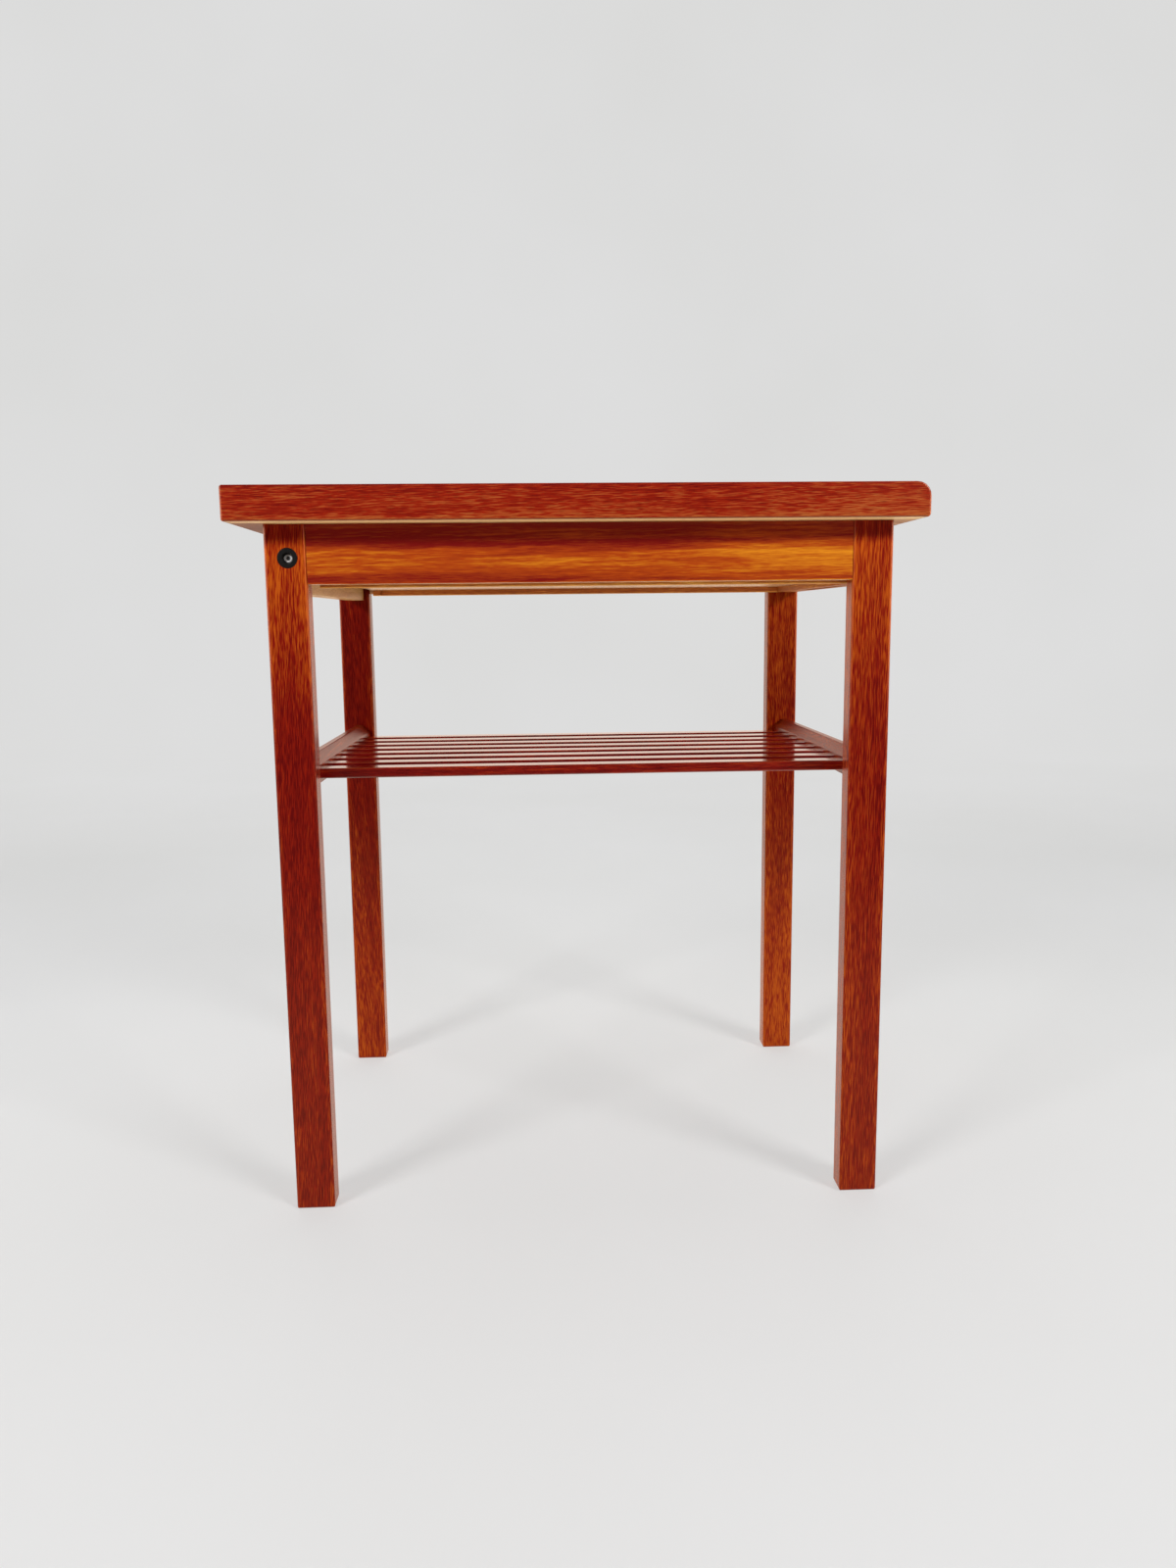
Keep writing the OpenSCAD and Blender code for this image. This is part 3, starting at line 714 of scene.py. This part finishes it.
# Veneer under the top: cream beech, with brown lacquer run over its edges
UNDER_BEECH = replace(
    CREAM_BEECH,
    name="beech_under_veneer",
    deep="#6e3210",
    middle="#b4732e",
    pale="#fcd898",
    figures=(Figure(14.0, 0.4, 0.2), Figure(180.0, 8.0, 0.2, 0.3, 0.7)),
    layer_weight=0.15,
    base=0.28,
)
# Drawer bottom and apron cores: pale waxed beech that mirrors the floor at a very low angle
WAXED_BEECH = replace(
    CREAM_BEECH,
    name="waxed_beech",
    deep="#e4a866",
    middle="#f2c28a",
    pale="#fad8ac",
    roughness=(0.24, 0.34),
)
# Rear rail: yellow waxed beech, a little duller than the drawer bottom
RAIL_BEECH = replace(
    CREAM_BEECH,
    name="waxed_rail_beech",
    deep="#c8883c",
    middle="#e2aa5c",
    pale="#f2c684",
    roughness=(0.36, 0.48),
)
# Front, sides and back of the drawer box: a browner hardwood, unstained and matt
TAN_WOOD = Wood(
    name="bare_tan_hardwood",
    deep="#a4540e",
    middle="#be6c1a",
    pale="#eaa844",
    pore="#8a4c18",
    figures=(Figure(14.0, 0.4, 0.34), Figure(180.0, 8.0, 0.3, 0.3, 0.7)),
    pores=Figure(5.0, 0.35, 0.3, 0.58, 0.7, 1.0),
    layer=3.5,
    layer_weight=0.2,
    waver=0.8,
    roughness=(0.5, 0.62),
)


@dataclass(frozen=True)
class Metal:
    """Zinc-plated steel that has dulled: grey and faintly uneven, with painted shade in its socket.

    Bloom is the size of the dull spots and relief their height, in millimetres. Painted shade in
    the recesses leaves its share of the colour from a set depth below the outer faces on.
    """

    colour: str = "#d2d4d6"
    roughness: Pair = (0.42, 0.56)
    bloom: float = 1.2
    relief: float = 0.12
    recess_shade_depth: float = 1.5
    recess_shade: float = 0.15

    def material(self, name: str, face: Optional[float] = None) -> bpy.types.Material:
        """Make the plated steel.

        Args:
            name: Name of the material.
            face: Distance of the outer faces from the middle of the table along Y, in
            millimetres. What lies deeper is darkened as painted shade.

        Returns:
            The material.
        """
        made = bpy.data.materials.new(name)
        tree = emptied(made)
        place = add(tree, "TexCoord", "Object")
        spots = {"Vector": place, "Scale": 1 / (self.bloom * MM), "Detail": 3.0}
        cloud = add(tree, "TexNoise", "Fac", None, spots)
        low, high = self.roughness
        rough = add(tree, "MapRange", "Result", None, {"Value": cloud, "To Min": low, "To Max": high})
        bump = add(tree, "Bump", "Normal", None, {"Height": cloud, "Distance": self.relief * MM})
        colour = linear(self.colour)
        # Painted shade in the recesses, from a set depth below the outer faces
        if face is not None:
            depth = add(tree, "SeparateXYZ", "Y", None, {"Vector": place})
            from_middle = add(tree, "Math", "Value", ABSOLUTE, {0: depth})
            reach = {"From Min": (face - self.recess_shade_depth) * MM, "From Max": face * MM}
            recess_shading = {"Value": from_middle, "To Min": self.recess_shade, **reach}
            unshaded_share = add(tree, "MapRange", "Result", None, recess_shading)
            colour = add(tree, "VectorMath", "Vector", SCALE, {0: colour[:3], "Scale": unshaded_share})
        plated = {"Base Color": colour, "Metallic": 1.0, "Roughness": rough, "Normal": bump}
        shader = add(tree, "BsdfPrincipled", "BSDF", None, plated)
        add(tree, "OutputMaterial", None, None, {"Surface": shader})
        return made


@dataclass(frozen=True)
class MouldedPlastic:
    """Injection-moulded black nylon: deep black and satin, with a fine eroded mould texture.

    The texture is drawn at 0.35 mm, about three times its real size, so that it breaks the gloss.
    """

    colour: str = "#040404"
    texture: float = 0.35
    relief: float = 0.02
    roughness: float = 0.45
    ior: float = 1.53
    gloss: float = 0.15

    def material(self, name: str) -> bpy.types.Material:
        """Make the moulded plastic.

        Args:
            name: Name of the material.

        Returns:
            The material.
        """
        made = bpy.data.materials.new(name)
        tree = emptied(made)
        place = add(tree, "TexCoord", "Object")
        pits = {"Vector": place, "Scale": 1 / (self.texture * MM), "Detail": 2.0}
        grains = add(tree, "TexNoise", "Fac", None, pits)
        bump = add(tree, "Bump", "Normal", None, {"Height": grains, "Distance": self.relief * MM})
        moulded = {
            "Base Color": linear(self.colour),
            "Roughness": self.roughness,
            "Normal": bump,
            "IOR": self.ior,
            "Specular IOR Level": self.gloss,
        }
        shader = add(tree, "BsdfPrincipled", "BSDF", None, moulded)
        add(tree, "OutputMaterial", None, None, {"Surface": shader})
        return made


@dataclass
class TableTop:
    """The veneered board and its four lippings."""

    nose: float = 10.0
    nose_under: float = 3.0
    rear_arris: float = 2.0
    end_arris: float = 1.9
    upper_arris: float = 1.2
    lower_arris: float = 0.6
    joint: float = 0.12
    # An arris stops short of the veneer by this much, so that the corner keeps a flat
    flat: float = 0.05
    # Rounds of the hidden corners of a rebate, and of an outer face where it meets the veneer
    hidden: float = 0.02
    veneer_meet: float = 0.1
    # Pith lines from the middle of an end lipping, a side lipping and the veneer
    end_pith: Pair = (-60.0, -25.0)
    side_pith: Pair = (-40.0, 30.0)
    veneer_pith: Pair = (0.0, -55.0)
    # Lacquer stains the edges of the veneer below, most at the near side
    stained_edge: float = 0.8
    near_stain: float = -2.0
    end_stain: float = -1.0
    # The veneer's near brim is lightened as painted light, and its rear overhang darkened as painted
    # shade
    lit_brim: float = 15.0
    brim_fade: float = 3.0
    brim_light_tone: float = 0.5
    overhang: Pair = (-225.0, -205.0)
    overhang_shade_tone: float = -0.35
    # The long edges are paler towards the drawer end as painted sheen, and more orange by their lower
    # arris
    edge_sheen_and_tone: tuple[Drift, ...] = (
        # Painted sheen towards the drawer end
        Drift("X", 60.0, 230.0, 0.0, 0.12),
        Drift("Z", 503.5, 509.0, 0.2, 0.0),
        Drift("Z", 518.0, 527.0, 0.0, -0.1),
    )

    def end_lipping(self, node: str, outer: float, inner: float, over: float, under: float) -> None:
        """Make a solid lipping across one end, with a rebate for the veneer below.

        Args:
            node: CAD node of the lipping.
            outer: Place of its outer face along the table.
            inner: Place of its joint with the board.
            over: Radius of its upper arris.
            under: Radius of its lower arris, which ends where the veneer starts.
        """
        low, high = box_mm(node)
        rebate = box_mm("top_underside_veneer")[1][2]
        step = outer - math.copysign(under, outer - inner)
        corners = (
            (inner, rebate), (step, rebate), (step, low[2]),
            (outer, low[2]), (outer, high[2]), (inner, high[2]),
        )
        radii = (self.joint, self.hidden, self.hidden, under - self.flat, over, self.joint)
        if outer < inner:
            corners, radii = corners[::-1], radii[::-1]
        wood = TOP_TEAK.material(node, Along.Y, 11 if outer > 0 else 12, self.end_pith)
        section = Section(corners, radii)
        Moulding(section, Along.Y, low[1], high[1], (self.joint,) * 6).piece(node, wood)

    def side_lipping(self, node: str, seed: int, near: bool) -> None:
        """Make a solid lipping along one side, with the whole profile of the top.

        Args:
            node: CAD node of the lipping.
            seed: Which part of the plank it is cut from.
            near: Whether its outer face looks towards minus Y.
        """
        low, high = box_mm(node)
        rebate = box_mm("top_underside_veneer")[1][2]
        rear, front = low[0] + self.rear_arris, high[0] - self.nose_under
        corners = (
            (low[0], low[2]), (rear, low[2]), (rear, rebate), (front, rebate),
            (front, low[2]), (high[0], low[2]), (high[0], high[2]), (low[0], high[2]),
        )
        radii = (
            self.rear_arris - self.flat, *(self.hidden,) * 4,
            self.nose_under - self.flat, self.nose, self.rear_arris,
        )
        meet, under, ends = self.veneer_meet, self.lower_arris, self.end_arris
        outer, inner = (meet, 0.0, under, 0.0, meet, ends, self.upper_arris, ends), (self.joint,) * 8
        order = (outer, inner) if near else (inner, outer)
        wood = TOP_TEAK.material(node, Along.X, seed, self.side_pith, self.edge_sheen_and_tone)
        Moulding(Section(corners, radii), Along.Y, low[1], high[1], *order).piece(node, wood)

    def build(self) -> None:
        """Make the seven pieces of the top."""
        dress("top_core", CREAM_BEECH.material("top_core", Along.X, 2))
        low, high = box_mm("top_underside_veneer")
        brim, edge = low[1] + self.lit_brim, self.stained_edge
        stains_and_painted_light = (
            Drift("Y", low[1], low[1] + edge, self.near_stain, 0.0),
            # Painted light on the near brim, then painted shade on the rear overhang
            Drift("Y", brim, brim + self.brim_fade, self.brim_light_tone, 0.0),
            Drift("X", *self.overhang, self.overhang_shade_tone, 0.0),
            Drift("X", low[0], low[0] + edge, self.end_stain, 0.0),
            Drift("X", high[0] - edge, high[0], 0.0, self.end_stain),
        )
        under = UNDER_BEECH.material("top_underside_veneer", Along.X, 5, drift=stains_and_painted_light)
        dress("top_underside_veneer", under)
        veneer = TOP_TEAK.material("top_veneer", Along.X, 7, self.veneer_pith)
        even = (self.joint,) * 4
        Moulding.of_box("top_veneer", Along.X, even, self.joint).piece("top_veneer", veneer)
        rear, front = box_mm("top_rear_lipping"), box_mm("top_front_lipping")
        self.end_lipping("top_front_lipping", front[1][0], front[0][0], self.nose, self.nose_under)
        self.end_lipping("top_rear_lipping", rear[0][0], rear[1][0], self.rear_arris, self.rear_arris)
        self.side_lipping("top_near_lipping", 13, True)
        self.side_lipping("top_far_lipping", 14, False)


@dataclass
class LegFrame:
    """Four legs, two aprons with their faces, the rear rail, and what joins them."""

    # Round of a visible arris and of a hidden one
    broken: float = 0.3
    hidden: float = 0.05
    # Legs are paler along their upright arrises, and darkened at their upper end as painted shade of the
    # top
    arris_band: float = 4.5
    arris_tone: float = 0.16
    painted_shade_end: Pair = (486.0, 496.0)
    shade: float = -0.3
    # Heights over which a leg changes towards its top and its foot
    top_fade: Pair = (330.0, 470.0)
    foot_fade: Pair = (0.0, 300.0)
    # Each leg's cut of the plank, then its tone all over, at its top and at its foot; the far rear leg's
    # darker top is painted shade
    legs: tuple[tuple[str, int, float, float, float], ...] = (
        ("leg_near_rear", 20, -0.16, 0.36, 0.08),
        ("leg_near_front", 21, -0.03, 0.22, 0.04),
        ("leg_far_rear", 22, -0.09, -0.08, 0.18),
        ("leg_far_front", 23, 0.04, 0.14, 0.2),
    )
    # The veneer is darkened below the top as painted shade of the top, is darker towards its
    # lower edge, paler right at that edge, and more orange towards the drawer end
    apron_shade_and_tone: tuple[Drift, ...] = (
        # Painted shade of the top
        Drift("Z", 482.0, 490.5, 0.0, -0.36),
        Drift("Z", 462.0, 476.0, -0.18, 0.06),
        Drift("X", 20.0, 180.0, 0.0, 0.16),
        Drift("Z", 462.2, 463.2, 0.3, 0.0),
    )

    def leg_drift(self, node: str, whole: float, top: float, foot: float) -> tuple[Drift, ...]:
        """Say where a leg is paler: along its arrises, and towards its top or foot, and where painted
        shade darkens its upper end.

        Args:
            node: CAD node of the leg.
            whole: Tone added all over.
            top: Tone added at its top.
            foot: Tone added at its foot.

        Returns:
            The changes of tone.
        """
        low, high = box_mm(node)
        band, tone = self.arris_band, self.arris_tone
        return (
            Drift("X", low[0], low[0] + band, tone, 0.0),
            Drift("X", high[0] - band, high[0], 0.0, tone),
            Drift("Z", 0.0, 1.0, whole, whole),
            Drift("Z", *self.top_fade, 0.0, top),
            # Painted shade of the top over the leg's upper end
            Drift("Z", *self.painted_shade_end, 0.0, self.shade),
            Drift("Z", *self.foot_fade, foot, 0.0),
        )

    def build(self) -> None:
        """Make the legs, the aprons and the rail, and dress what joins them."""
        for node, seed, *tones in self.legs:
            wood = LEG_TEAK.material(node, Along.Z, seed, drift=self.leg_drift(node, *tones))
            eased(node, wood, 0.0)
        for side, seed, outer in (("near", 30, (0, 3)), ("far", 31, (1, 2))):
            core = f"side_apron_{side}"
            eased(core, WAXED_BEECH.material(core, Along.X, seed), self.broken)
            node = f"apron_face_{side}"
            radii = tuple(self.broken if i in outer else self.hidden for i in range(4))
            wood = APRON_TEAK.material(node, Along.X, seed, drift=self.apron_shade_and_tone)
            Moulding.of_box(node, Along.X, radii, self.hidden).piece(node, wood)
        eased("rear_rail", RAIL_BEECH.material("rear_rail", Along.Y, 33), self.broken)
        for seed, node in enumerate(("apron_dowels", "rear_rail_dowels", "top_dowels"), 34):
            dress(node, CREAM_BEECH.material(node, Along.X, seed))


@dataclass
class Fittings:
    """Screws, bolts, nuts and the black cups.

    A cup flares in from its face to the mouth, at the depth of its lip. Behind the lip is the
    room for the bolt's head, and its floor has the hole for the shank. Widths are radii.
    """

    flare: float = 3.9
    mouth: float = 2.6
    lip: float = 3.2
    room: float = 3.3
    room_depth: float = 5.9
    hole: float = 2.05
    depth: float = 7.5
    rim: float = 0.4
    small: float = 0.1

    def cups(self) -> None:
        """Turn the black cups, with a round on the outer rim and on the mouth."""
        low, high = box_mm("bolt_cups")
        outer, side = (high[0] - low[0]) / 2, (high[1] - low[1]) / 2
        corners = (
            (self.flare, 0.0), (outer, 0.0), (outer, self.depth), (self.hole, self.depth),
            (self.hole, self.room_depth), (self.room, self.room_depth),
            (self.room, self.lip), (self.mouth, self.lip),
        )
        section = Section(corners, (self.rim, self.rim, *(self.small,) * 6))
        middle, height = (low[0] + high[0]) / 2, (low[2] + high[2]) / 2
        centres = ((middle, -side, height), (middle, side, height))
        plastic = MouldedPlastic().material("black_nylon")
        Turning(section).piece("bolt_cups", centres, plastic)

    def build(self) -> None:
        """Dress the metal fittings and turn the cups."""
        steel = Metal().material("dulled_zinc_steel")
        for node in ("top_screws", "cross_nuts", "runner_screws"):
            dress(node, steel)
        # The bolt heads are darkened inside the cups as painted shade
        face = box_mm("rail_bolts")[1][1]
        dress("rail_bolts", Metal().material("dulled_zinc_bolt_steel", face))
        self.cups()


@dataclass
class Shelf:
    """Eight slats between two bevelled rails."""

    slats: int = 8
    arris: float = 1.2
    slat_end: float = 0.3
    # Only the rails' long arrises are broken
    rail_arris: float = 0.6
    rail_shortest: float = 30.0
    # The slats' sides are darkened below their tops as painted shade, the first slat's the least
    shade_depth: float = 1.0
    unshaded_depth: float = 0.2
    painted_shade_tone: float = -0.5
    front_shade_tone: float = -0.1

    def build(self) -> None:
        """Make the rails and the slats."""
        for seed, node in enumerate(("shelf_rail_rear", "shelf_rail_front"), 40):
            wood = RAIL_TEAK.material(node, Along.Y, seed)
            eased(node, wood, self.rail_arris, self.rail_shortest)
        for number in range(1, self.slats + 1):
            node = f"shelf_slat_{number}"
            top = box_mm(node)[1][2]
            # Painted shade on the sides of the slats below their tops
            tone = self.painted_shade_tone if number > 1 else self.front_shade_tone
            sides = (Drift("Z", top - self.shade_depth, top - self.unshaded_depth, tone, 0.0),)
            wood = SLAT_TEAK.material(node, Along.X, 50 + number, drift=sides)
            Moulding.of_box(node, Along.X, (self.arris,) * 4, self.slat_end).piece(node, wood)


@dataclass
class Drawer:
    """The dovetailed drawer box and the runners that carry it."""

    broken: float = 0.25
    # Round of the teak face's outer arrises, and of those by the front that it is glued to
    face_arris: float = 0.3
    glued: float = 0.05
    # The lower edges of the sides are paler
    pale_band: float = 1.0
    pale_tone: float = 0.7

    def build(self) -> None:
        """Make the drawer and its runners."""
        eased("drawer_front", TAN_WOOD.material("drawer_front", Along.Y, 60), self.broken)
        face = APRON_TEAK.material("drawer_front_face", Along.Y, 61)
        radii = (self.glued, self.face_arris, self.face_arris, self.glued)
        Moulding.of_box("drawer_front_face", Along.Y, radii, self.glued).piece("drawer_front_face", face)
        for seed, side in enumerate(("near", "far"), 62):
            node = f"drawer_side_{side}"
            low = box_mm(node)[0][2]
            paler_edge = (Drift("Z", low, low + self.pale_band, self.pale_tone, 0.0),)
            wood = TAN_WOOD.material(node, Along.X, seed, drift=paler_edge)
            eased(node, wood, self.broken)
            node = f"drawer_runner_{side}"
            eased(node, CREAM_BEECH.material(node, Along.X, seed + 4), self.broken)
        eased("drawer_back", TAN_WOOD.material("drawer_back", Along.Y, 68), self.broken)
        eased("drawer_bottom", WAXED_BEECH.material("drawer_bottom", Along.X, 69), self.broken)


@dataclass(frozen=True)
class Lamp:
    """A soft rectangular lamp: where it hangs, what it points at, its width and height in metres."""

    name: str
    place: Point
    aim: Point
    size: Pair
    watts: float

    def hang(self) -> None:
        """Add the lamp to the scene."""
        light = bpy.data.lights.new(self.name, "AREA")
        light.shape = "RECTANGLE"
        light.size, light.size_y = self.size
        light.energy = self.watts
        lamp = put(self.name, light)
        lamp.location = self.place
        lamp.rotation_mode = "QUATERNION"
        lamp.rotation_quaternion = (Vector(self.aim) - Vector(self.place)).to_track_quat("-Z", "Y")


@dataclass
class Studio:
    """Pale floor and wall, two soft side lamps, an overhead lamp, and the camera, in metres.

    What reflections see is laid out by the X, Y and Z of their direction, from minus one to one.
    """

    lamps: tuple[Lamp, ...] = (
        Lamp("lamp_left", (-2.0, -2.1, 1.55), (0.0, 0.0, 0.3), (0.9, 0.5), 60.0),
        Lamp("lamp_right", (2.0, -2.1, 1.55), (0.0, 0.0, 0.3), (0.9, 0.5), 60.0),
        Lamp("lamp_above", (0.0, 0.9, 2.8), (0.0, 0.0, 0.0), (2.4, 2.4), 25.0),
    )
    camera_place: Point = (-0.03127, -0.95698, 0.43627)
    camera_right: Point = (0.998904, -0.045613, -0.010474)
    camera_ahead: Point = (0.043621, 0.988509, -0.14473)
    lens: float = 25.895
    wall_y: float = 2.45
    cove: float = 0.12
    room_half: float = 6.0
    wall_height: float = 4.0
    # Depth over which the floor's tones turn into the wall's
    wall_blend: float = 2.0
    # White paint, barely clouded in patches of most of a metre
    paint: tuple[str, str] = ("#fbfbfa", "#ffffff")
    patches: float = 1.2
    backdrop: str = "#dfe0de"
    room_light: float = 0.12
    # How bright the paint is in the room's light: for the room itself, then for the camera
    room_paint: float = 0.95
    floor_paint: float = 0.35
    wall_paint: float = 0.0
    # The paint's own glow, as the camera sees it
    floor_glow: float = 0.455
    wall_glow: float = 0.73
    # Reflections see a warmer and brighter room, dark behind the camera
    mirrored_tint: str = "#ffe7d7"
    mirrored_gain: float = 1.29
    dark_side: float = 0.05
    dusk: Pair = (-0.25, 0.35)
    floor_dusk: Pair = (-1.5, -0.3)
    # Panels at both sides are bright in reflections, and the left one starts further out
    side_panels: float = 2.0
    panel_rise: Pair = (0.22, 0.75)
    left_gap: float = 0.25
    # Strip lights at both sides, at the height of the table, draw the upright arrises
    side_strips: float = 4.0
    strip_rise: Pair = (0.58, 0.68)
    strip_fall: Pair = (0.12, 0.2)

    def sweep_material(self) -> bpy.types.Material:
        """Make the painted floor and wall, which the camera and reflections see pale.

        Rays from the camera and from gloss see part of the paint as its own glow, and the rest
        takes the light and the shadows of the room. The wall only glows for them.

        Returns:
            The material.
        """
        made = bpy.data.materials.new("pale_painted_sweep")
        tree = emptied(made)
        place = add(tree, "TexCoord", "Object")
        clouds = {"Vector": place, "Scale": self.patches, "Detail": 4.0}
        patch = add(tree, "TexNoise", "Fac", None, clouds)
        ramp = add(tree, "ValToRGB", None, None, {"Fac": patch})
        for stop, position, code in zip(ramp.color_ramp.elements, (0.3, 0.7), self.paint):
            stop.position, stop.color = position, linear(code)
        depth = add(tree, "SeparateXYZ", "Y", None, {"Vector": place})
        near, far = self.wall_y - self.wall_blend, self.wall_y
        rows = ((self.floor_paint, self.wall_paint), (self.floor_glow, self.wall_glow))
        levels = []
        for floor, wall in rows:
            blend = {"Value": depth, "From Min": near, "From Max": far, "To Min": floor, "To Max": wall}
            levels.append(add(tree, "MapRange", "Result", SMOOTH, blend))
        shaded, glowing = levels
        ray = add(tree, "LightPath").outputs
        rays = {0: ray["Is Camera Ray"], 1: ray["Is Glossy Ray"]}
        seen = add(tree, "Math", "Value", MAXIMUM, rays)
        span = {"From Min": self.floor_dusk[0], "From Max": self.floor_dusk[1]}
        gains = {"To Min": self.dark_side * self.mirrored_gain, "To Max": self.mirrored_gain}
        front = add(tree, "MapRange", "Result", SMOOTH, {"Value": depth, **span, **gains})
        mirrored = {0: linear(self.mirrored_tint)[:3], "Scale": front}
        warm = add(tree, "VectorMath", "Vector", SCALE, mirrored)
        mixed = {0: ray["Is Glossy Ray"], 6: ramp.outputs["Color"], 7: warm}
        tint = add(tree, "Mix", None, COLOURS, mixed).outputs[2]
        shares = {"Factor": seen, "A": self.room_paint, "B": shaded}
        share = add(tree, "Mix", "Result", None, shares)
        paint = add(tree, "VectorMath", "Vector", SCALE, {0: tint, "Scale": share})
        diffuse = add(tree, "BsdfDiffuse", "BSDF", None, {"Color": paint})
        lift = add(tree, "Math", "Value", MULTIPLY, {0: seen, 1: glowing})
        glow = add(tree, "Emission", "Emission", None, {"Color": tint, "Strength": lift})
        both = add(tree, "AddShader", "Shader", None, {0: diffuse, 1: glow})
        add(tree, "OutputMaterial", None, None, {"Surface": both})
        return made

    def sweep(self) -> None:
        """Lay the floor and raise the wall in one sheet with a small cove.

        The section runs along the floor, round a quarter circle of the cove's radius, and up the
        wall. It is carried across the room.
        """
        turn = np.linspace(0.0, np.pi / 2, 9)
        start = self.wall_y - self.cove
        y = np.concatenate([[-self.room_half], start + self.cove * np.sin(turn), [self.wall_y]])
        z = np.concatenate([[0.0], self.cove - self.cove * np.cos(turn), [self.wall_height]])
        x = np.array([[-self.room_half], [self.room_half]])
        grid = np.stack(np.broadcast_arrays(x, y, z), axis=-1).reshape(-1, 3)
        row = len(y)
        place = np.arange(row - 1)
        faces = np.stack([place, place + row, place + row + 1, place + 1], axis=1)
        mesh = bpy.data.meshes.new("sweep")
        mesh.from_pydata(grid.tolist(), [], faces.tolist())
        mesh.materials.append(self.sweep_material())
        put("sweep", mesh)

    def world(self) -> None:
        """Fill the room with even light, which the camera sees pale.

        Reflections see the pale backdrop and the dimmer side of the studio, where the camera is.
        """
        made = bpy.data.worlds.new("pale_room")
        tree = emptied(made)
        ray = add(tree, "LightPath").outputs
        rays = {0: ray["Is Camera Ray"], 1: ray["Is Glossy Ray"]}
        seen = add(tree, "Math", "Value", MAXIMUM, rays)
        toward = add(tree, "TexCoord", "Generated")
        axes = add(tree, "SeparateXYZ", None, None, {"Vector": toward}).outputs
        span = {"Value": axes["Y"], "From Min": self.dusk[0], "From Max": self.dusk[1]}
        gloss = add(tree, "MapRange", "Result", SMOOTH, {**span, "To Min": self.dark_side, "To Max": 1.0})

        flipped = {0: axes["X"], 1: -1.0, 2: -self.left_gap}
        left = add(tree, "Math", "Value", MULTIPLY_ADD, flipped)
        aside = add(tree, "Math", "Value", MAXIMUM, {0: axes["X"], 1: left})
        span = {"Value": aside, "From Min": self.panel_rise[0], "From Max": self.panel_rise[1]}
        panels = add(tree, "MapRange", "Result", SMOOTH, {**span, "To Max": self.side_panels})
        gloss = add(tree, "Math", "Value", ADD, {0: gloss, 1: panels})

        width = add(tree, "Math", "Value", ABSOLUTE, {0: axes["X"]})
        height = add(tree, "Math", "Value", ABSOLUTE, {0: axes["Z"]})
        span = {"Value": width, "From Min": self.strip_rise[0], "From Max": self.strip_rise[1]}
        across = add(tree, "MapRange", "Result", SMOOTH, {**span, "To Max": self.side_strips})
        span = {"Value": height, "From Min": self.strip_fall[0], "From Max": self.strip_fall[1]}
        above = add(tree, "MapRange", "Result", SMOOTH, {**span, "To Min": 1.0, "To Max": 0.0})
        gloss = add(tree, "Math", "Value", MULTIPLY_ADD, {0: across, 1: above, 2: gloss})

        mirrored = add(tree, "Math", "Value", MULTIPLY, {0: gloss, 1: self.mirrored_gain})
        to_camera = {"Factor": ray["Is Glossy Ray"], "A": 1.0, "B": mirrored}
        shown = add(tree, "Mix", "Result", None, to_camera)
        level = add(tree, "Mix", "Result", None, {"Factor": seen, "A": self.room_light, "B": shown})
        backdrop = linear(self.backdrop)
        warm = tuple(a * b for a, b in zip(backdrop, linear(self.mirrored_tint)))
        hues = {0: ray["Is Glossy Ray"], 6: backdrop, 7: warm}
        hue = add(tree, "Mix", None, COLOURS, hues).outputs[2]
        glow = add(tree, "Background", "Background", None, {"Color": hue, "Strength": level})
        add(tree, "OutputWorld", None, None, {"Surface": glow})
        bpy.context.scene.world = made

    def build(self) -> None:
        """Set the sweep, the lamps, the world and the camera."""
        self.sweep()
        self.world()
        for lamp in self.lamps:
            lamp.hang()
            LOG.info("hung %s, %g W", lamp.name, lamp.watts)
        view = bpy.data.cameras.new("camera")
        view.sensor_fit = "AUTO"
        view.sensor_width = 36.0
        view.lens = self.lens
        right = Vector(self.camera_right)
        back = -Vector(self.camera_ahead)
        up = back.cross(right)
        turn = Matrix((right, up, back)).transposed()
        camera = put("camera", view)
        camera.matrix_world = Matrix.Translation(Vector(self.camera_place)) @ turn.to_4x4()
        bpy.context.scene.camera = camera
        bpy.context.scene.view_settings.view_transform = "Standard"


def main() -> None:
    """Build the studio and every sub-assembly."""
    logging.basicConfig(level=logging.INFO)
    Studio().build()
    for part in (TableTop(), LegFrame(), Fittings(), Shelf(), Drawer()):
        part.build()


if __name__ == "__main__":
    main()
